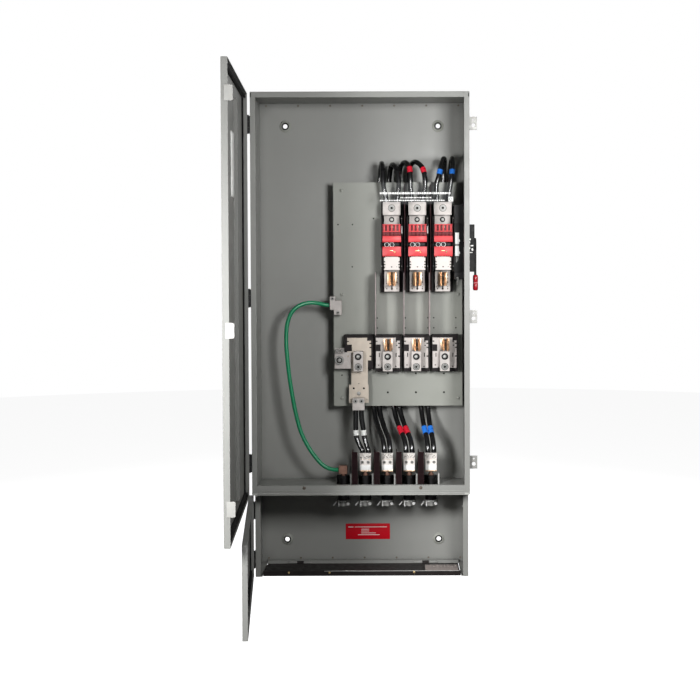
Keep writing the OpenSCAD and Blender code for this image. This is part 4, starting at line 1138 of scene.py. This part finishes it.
GROUND_ROUTE = [[-78, -82, 90], [-104, -83, 90], [-140, -95, 97], [-172, -103, 94], [-200, -110, 77],
                [-217, -113, 43], [-222, -115, -8], [-219, -117, -64], [-213, -118, -121],
                [-204, -119, -178], [-193, -120, -235], [-176, -121, -292], [-146, -123, -345],
                [-112, -125, -383], [-84, -125, -394], [-56, -125, -394]]
LINE_HEAD = ((-117, 362), (-117, 405), (-117, 440))
LINE_TAIL = ((-35, 450), (-35, -195), (-46, -238), (-78, -276),
             (-112, -306), (-125, -334), (-125, -352))


def line_route(head, bend, tail):
    """A line cable's route: its X over the lug, its bend over the pan's edge, and its X on the way down."""
    start = [(x, *place) for x, place in zip(head, LINE_HEAD)]
    return start + list(bend) + [(x, *place) for x, place in zip(tail, LINE_TAIL)]


LINE_ROUTES = [
    line_route((74, 73, 66),
               ((64, -110, 482), (62, -88, 507), (60, -62, 508), (57, -42, 485)),
               (54, 32, 36, 48, 61, 66, 66)),
    line_route((106, 107, 111),
               ((108, -110, 480), (98, -88, 503), (90, -62, 504), (85, -42, 482)),
               (82, 50, 54, 66, 79, 83, 83)),
    line_route((149, 148, 145),
               ((145, -115, 472), (142, -106, 498), (130, -82, 512), (118, -56, 502), (113, -40, 478)),
               (112, 92, 98, 111, 125, 130, 130)),
    line_route((181, 182, 188),
               ((187, -115, 472), (180, -106, 496), (162, -84, 513), (148, -58, 506), (143, -40, 480)),
               (142, 110, 116, 129, 143, 148, 148)),
    line_route((224, 223, 221),
               ((229, -115, 470), (236, -106, 500), (244, -86, 522), (248, -62, 520), (248, -42, 494)),
               (245, 176, 179, 185, 192, 194.5, 194.5)),
    line_route((256, 257, 262),
               ((267, -115, 470), (270, -106, 500), (270, -86, 522), (269, -62, 520), (267, -42, 494)),
               (263, 197, 199, 203, 209, 212, 212))]
NEUTRAL_ROUTES = [
    [[-18, -112, -206], [-18, -112, -240], [-18, -113, -275], [-15, -115, -302], [-5, -121, -326],
     [1.5, -125, -338], [1.5, -125, -352]],
    [[-1, -112, -206], [-1, -112, -240], [4, -113, -275], [8, -115, -302], [15, -121, -326],
     [19, -125, -338], [19, -125, -352]]]
CABLE_RADIUS = 7.5
GROUND_RADIUS = 6.0


def cable(name, route, radius, look, node):
    """A cable as a smooth curve. Sleeves are tape pieces on it."""
    path = smooth_path(route, PATH_STEPS)
    data = bpy.data.curves.new(name, "CURVE")
    data.dimensions = "3D"
    line = data.splines.new("POLY")
    line.points.add(len(path) - 1)
    for point, place in zip(line.points, path):
        point.co = (*(place * MM), 1)
    line.use_smooth = True
    data.bevel_depth = radius * MM
    data.bevel_resolution = 5
    data.use_fill_caps = True
    made = bpy.data.objects.new(name, data)
    bpy.context.scene.collection.objects.link(made)
    data.materials.append(LOOKS[look])
    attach(made, "enclosure")
    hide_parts(node)
    return made


def tape(name, route, stretch, start, end, look, slot, node, draw):
    """Vinyl tape wound round a stretch of a cable, a little uneven at its two edges."""
    path = smooth_path(route, PATH_STEPS)
    first, last = [stretch * PATH_STEPS + round(share * PATH_STEPS) for share in (start, end)]
    mesh = bmesh.new()
    part = path[first:last + 1]
    fine = []
    for a, b in zip(part, part[1:]):
        fine += [a.lerp(b, k / 4) for k in range(4)]
    fine.append(part[-1])
    add_tube(mesh, fine, lambda share: CABLE_RADIUS + 0.9 + draw.uniform(-0.12, 0.12), 24)
    return piece(name, mesh, look, replaces=[node], smooth=60)


def cables():
    """Every cable with its tapes."""
    draw = random.Random(11)
    tapes = {i: [] for i in range(6)}
    for colour, pair, upper in (("red", (2, 3), (0.28, 0.85)), ("blue", (4, 5), (0.14, 0.57))):
        for stretch, (start, end) in ((3, upper), (11, (0.0, 0.57))):
            for i in pair:
                kind = f"{colour}_tape"
                tapes[i].append(tape(f"{kind}_{i}_{stretch}", LINE_ROUTES[i], stretch, start, end,
                                     kind, kind, kind + "s", draw))
    for i, route in enumerate(LINE_ROUTES):
        name = f"line_cable_{'abc'[i // 2]}{i % 2 + 1}"
        cable(name, route, CABLE_RADIUS, "cable", "line_cables")
    for i, route in enumerate(NEUTRAL_ROUTES):
        mark = tape(f"white_tape_{i}", route, 2, 0.14, 0.72, "white_tape", "white_tape", "white_tapes",
                    draw)
        cable(f"neutral_cable_{i + 1}", route, CABLE_RADIUS, "cable", "neutral_cables")
    cable("green_ground_wire", GROUND_ROUTE, GROUND_RADIUS, "green", "ground_wire")


# ---- neutral, ground and bottom details ----

def ground_details():
    """Round clamp on the bonding strap and small clamp screws."""
    mesh = bmesh.new()
    front = PLATE_FACE - 3
    add_ring(mesh, [(8.5, 0), (8.5, 6), (9.4, 7), (12, 7), (13, 6), (13, 0)], (-66, front, -73))
    add_lathe(mesh, rounded(6, 4.5, 1.5), (-66, front, -73), segments=8)
    for x in (-72, -58):
        add_set_screw(mesh, x, PLATE_FACE - 15, -43.5, 4.2, 2.0)
    piece("bonding_clamp", mesh, "zinc")
    # Dark rings in the clamp's and screws' gaps: painted shade.
    mesh = bmesh.new()
    add_ring(mesh, washer(6.2, 8.4, 3.4, 4.2), (-66, front, -73))
    add_ring(mesh, washer(3.0, 3.4, 1.8, 4.8), (-66, front, -73))
    for x in (-72, -58):
        add_ring(mesh, washer(4.3, 5.2, 0, 1.2), (x, PLATE_FACE - 15, -43.5), segments=24)
    piece("bonding_clamp_gap_shade", mesh, "painted_hole_shade")


def bottom_details():
    """Bolts and the pale riveted bracket on the bottom flap, and its bright hinge edge, a painted highlight."""
    bolts = bmesh.new()
    for x in (-213, -95, 152):
        add_pan_screw(bolts, x, LOW_FRONT + 0.2, BOTTOM + 12, 3.4, 1.2)
    piece("flap_bolts", bolts, "brass", "bottom_flap")
    plate = bmesh.new()
    add_box(plate, (186, LOW_FRONT + 12, BOTTOM + 9.2), (283, -80, BOTTOM + 10.8), 0.4)
    draw = random.Random(3)
    for i in range(9):
        for rivet, y, shift in ((rounded(2.6, 2.4, 1.0), LOW_FRONT + 22, 3),
                                (rounded(2.2, 2.0, 0.9), -100, 4)):
            place = (192 + 10.6 * i, y + draw.uniform(-shift, shift), BOTTOM + 10.6)
            add_lathe(plate, rivet, place, axis="z", segments=14)
    piece("flap_bracket", plate, "bracket", "bottom_flap")
    # The flap's edge in bright plate: a painted highlight along its top.
    edge = bmesh.new()
    add_box(edge, (-110, LOW_FRONT - 0.3, BOTTOM + 15.6), (283, LOW_FRONT + 1.4, BOTTOM + 17), 0.3)
    piece("flap_edge_highlight", edge, "bright", "bottom_flap")


def door_details():
    """Latch slots, pocket sheet, clip, patches and weld marks of the upper door, hung open."""
    turn = hung("upper_door_hinge")
    edge = FRONT - 5
    inside = edge - 14.5
    mesh = bmesh.new()
    for z in (610, 61, -355):
        outline = [(edge - 9, z + 18), (edge - 0.6, z + 18), (edge - 0.6, z - 14),
                   (edge - 3, z - 18), (edge - 7, z - 18), (edge - 9, z - 15)]
        add_prism(mesh, outline, WALL_RIGHT + 2.5, WALL_RIGHT + 2.9, axis="x", turn=turn, bevel=0.15)
    piece("latch_slots", mesh, "latch_slot", "upper_door")
    mesh = bmesh.new()
    add_box(mesh, (0, inside + 1.6, 387), (65, inside + 2.4, 546), 0.2, turn=turn)
    piece("pocket_sheet", mesh, "print_and_highlight_white", "upper_door")
    mesh = bmesh.new()
    add_box(mesh, (284, inside, 206), (292, inside + 3, 227), 0.6, turn=turn)
    piece("door_clip", mesh, "print_and_highlight_white", "upper_door")
    mesh = bmesh.new()
    for z_low, z_high in ((557, 607), (-403, -353)):
        add_box(mesh, (-165, inside - 0.1, z_low), (-60, inside + 0.8, z_high), 0.3, turn=turn)
    piece("door_patches", mesh, "latch_slot", "upper_door")
    mesh = bmesh.new()
    for i in range(12):
        z = 525 - 91.5 * i
        if abs(z - 460) > 70:
            add_lathe(mesh, [(0, -0.2), (2.6, -0.2), (2.6, 0.3), (0, 0.4)], (0, 0, 0), segments=16,
                      turn=turn @ Matrix.Translation((150, inside, z)) @ Matrix.Rotation(math.pi, 4, "Z"))
    piece("door_weld_marks", mesh, "weld", "upper_door")


# ---- the whole ----

def build():
    """Camera, light and floor first, then the cables, and then every other piece."""
    make_camera()
    make_light()
    make_floor()
    cables()
    dress_nodes()
    for make in (weld_spots, wall_dimples, panel_screws, seam_lines, lower_catches, lower_label,
                 fasteners, painted_hole_shades, arc_chutes, chute_covers, shaft_caps, fuse_jaws, pole_hardware,
                 line_shield, receptacle_details, receptacle_locks, mechanism_details, handle,
                 handle_plate_details, ground_details, bottom_details, door_details):
        make()
    bpy.context.scene.view_settings.view_transform = "Standard"


build()
bpy.context.view_layer.update()
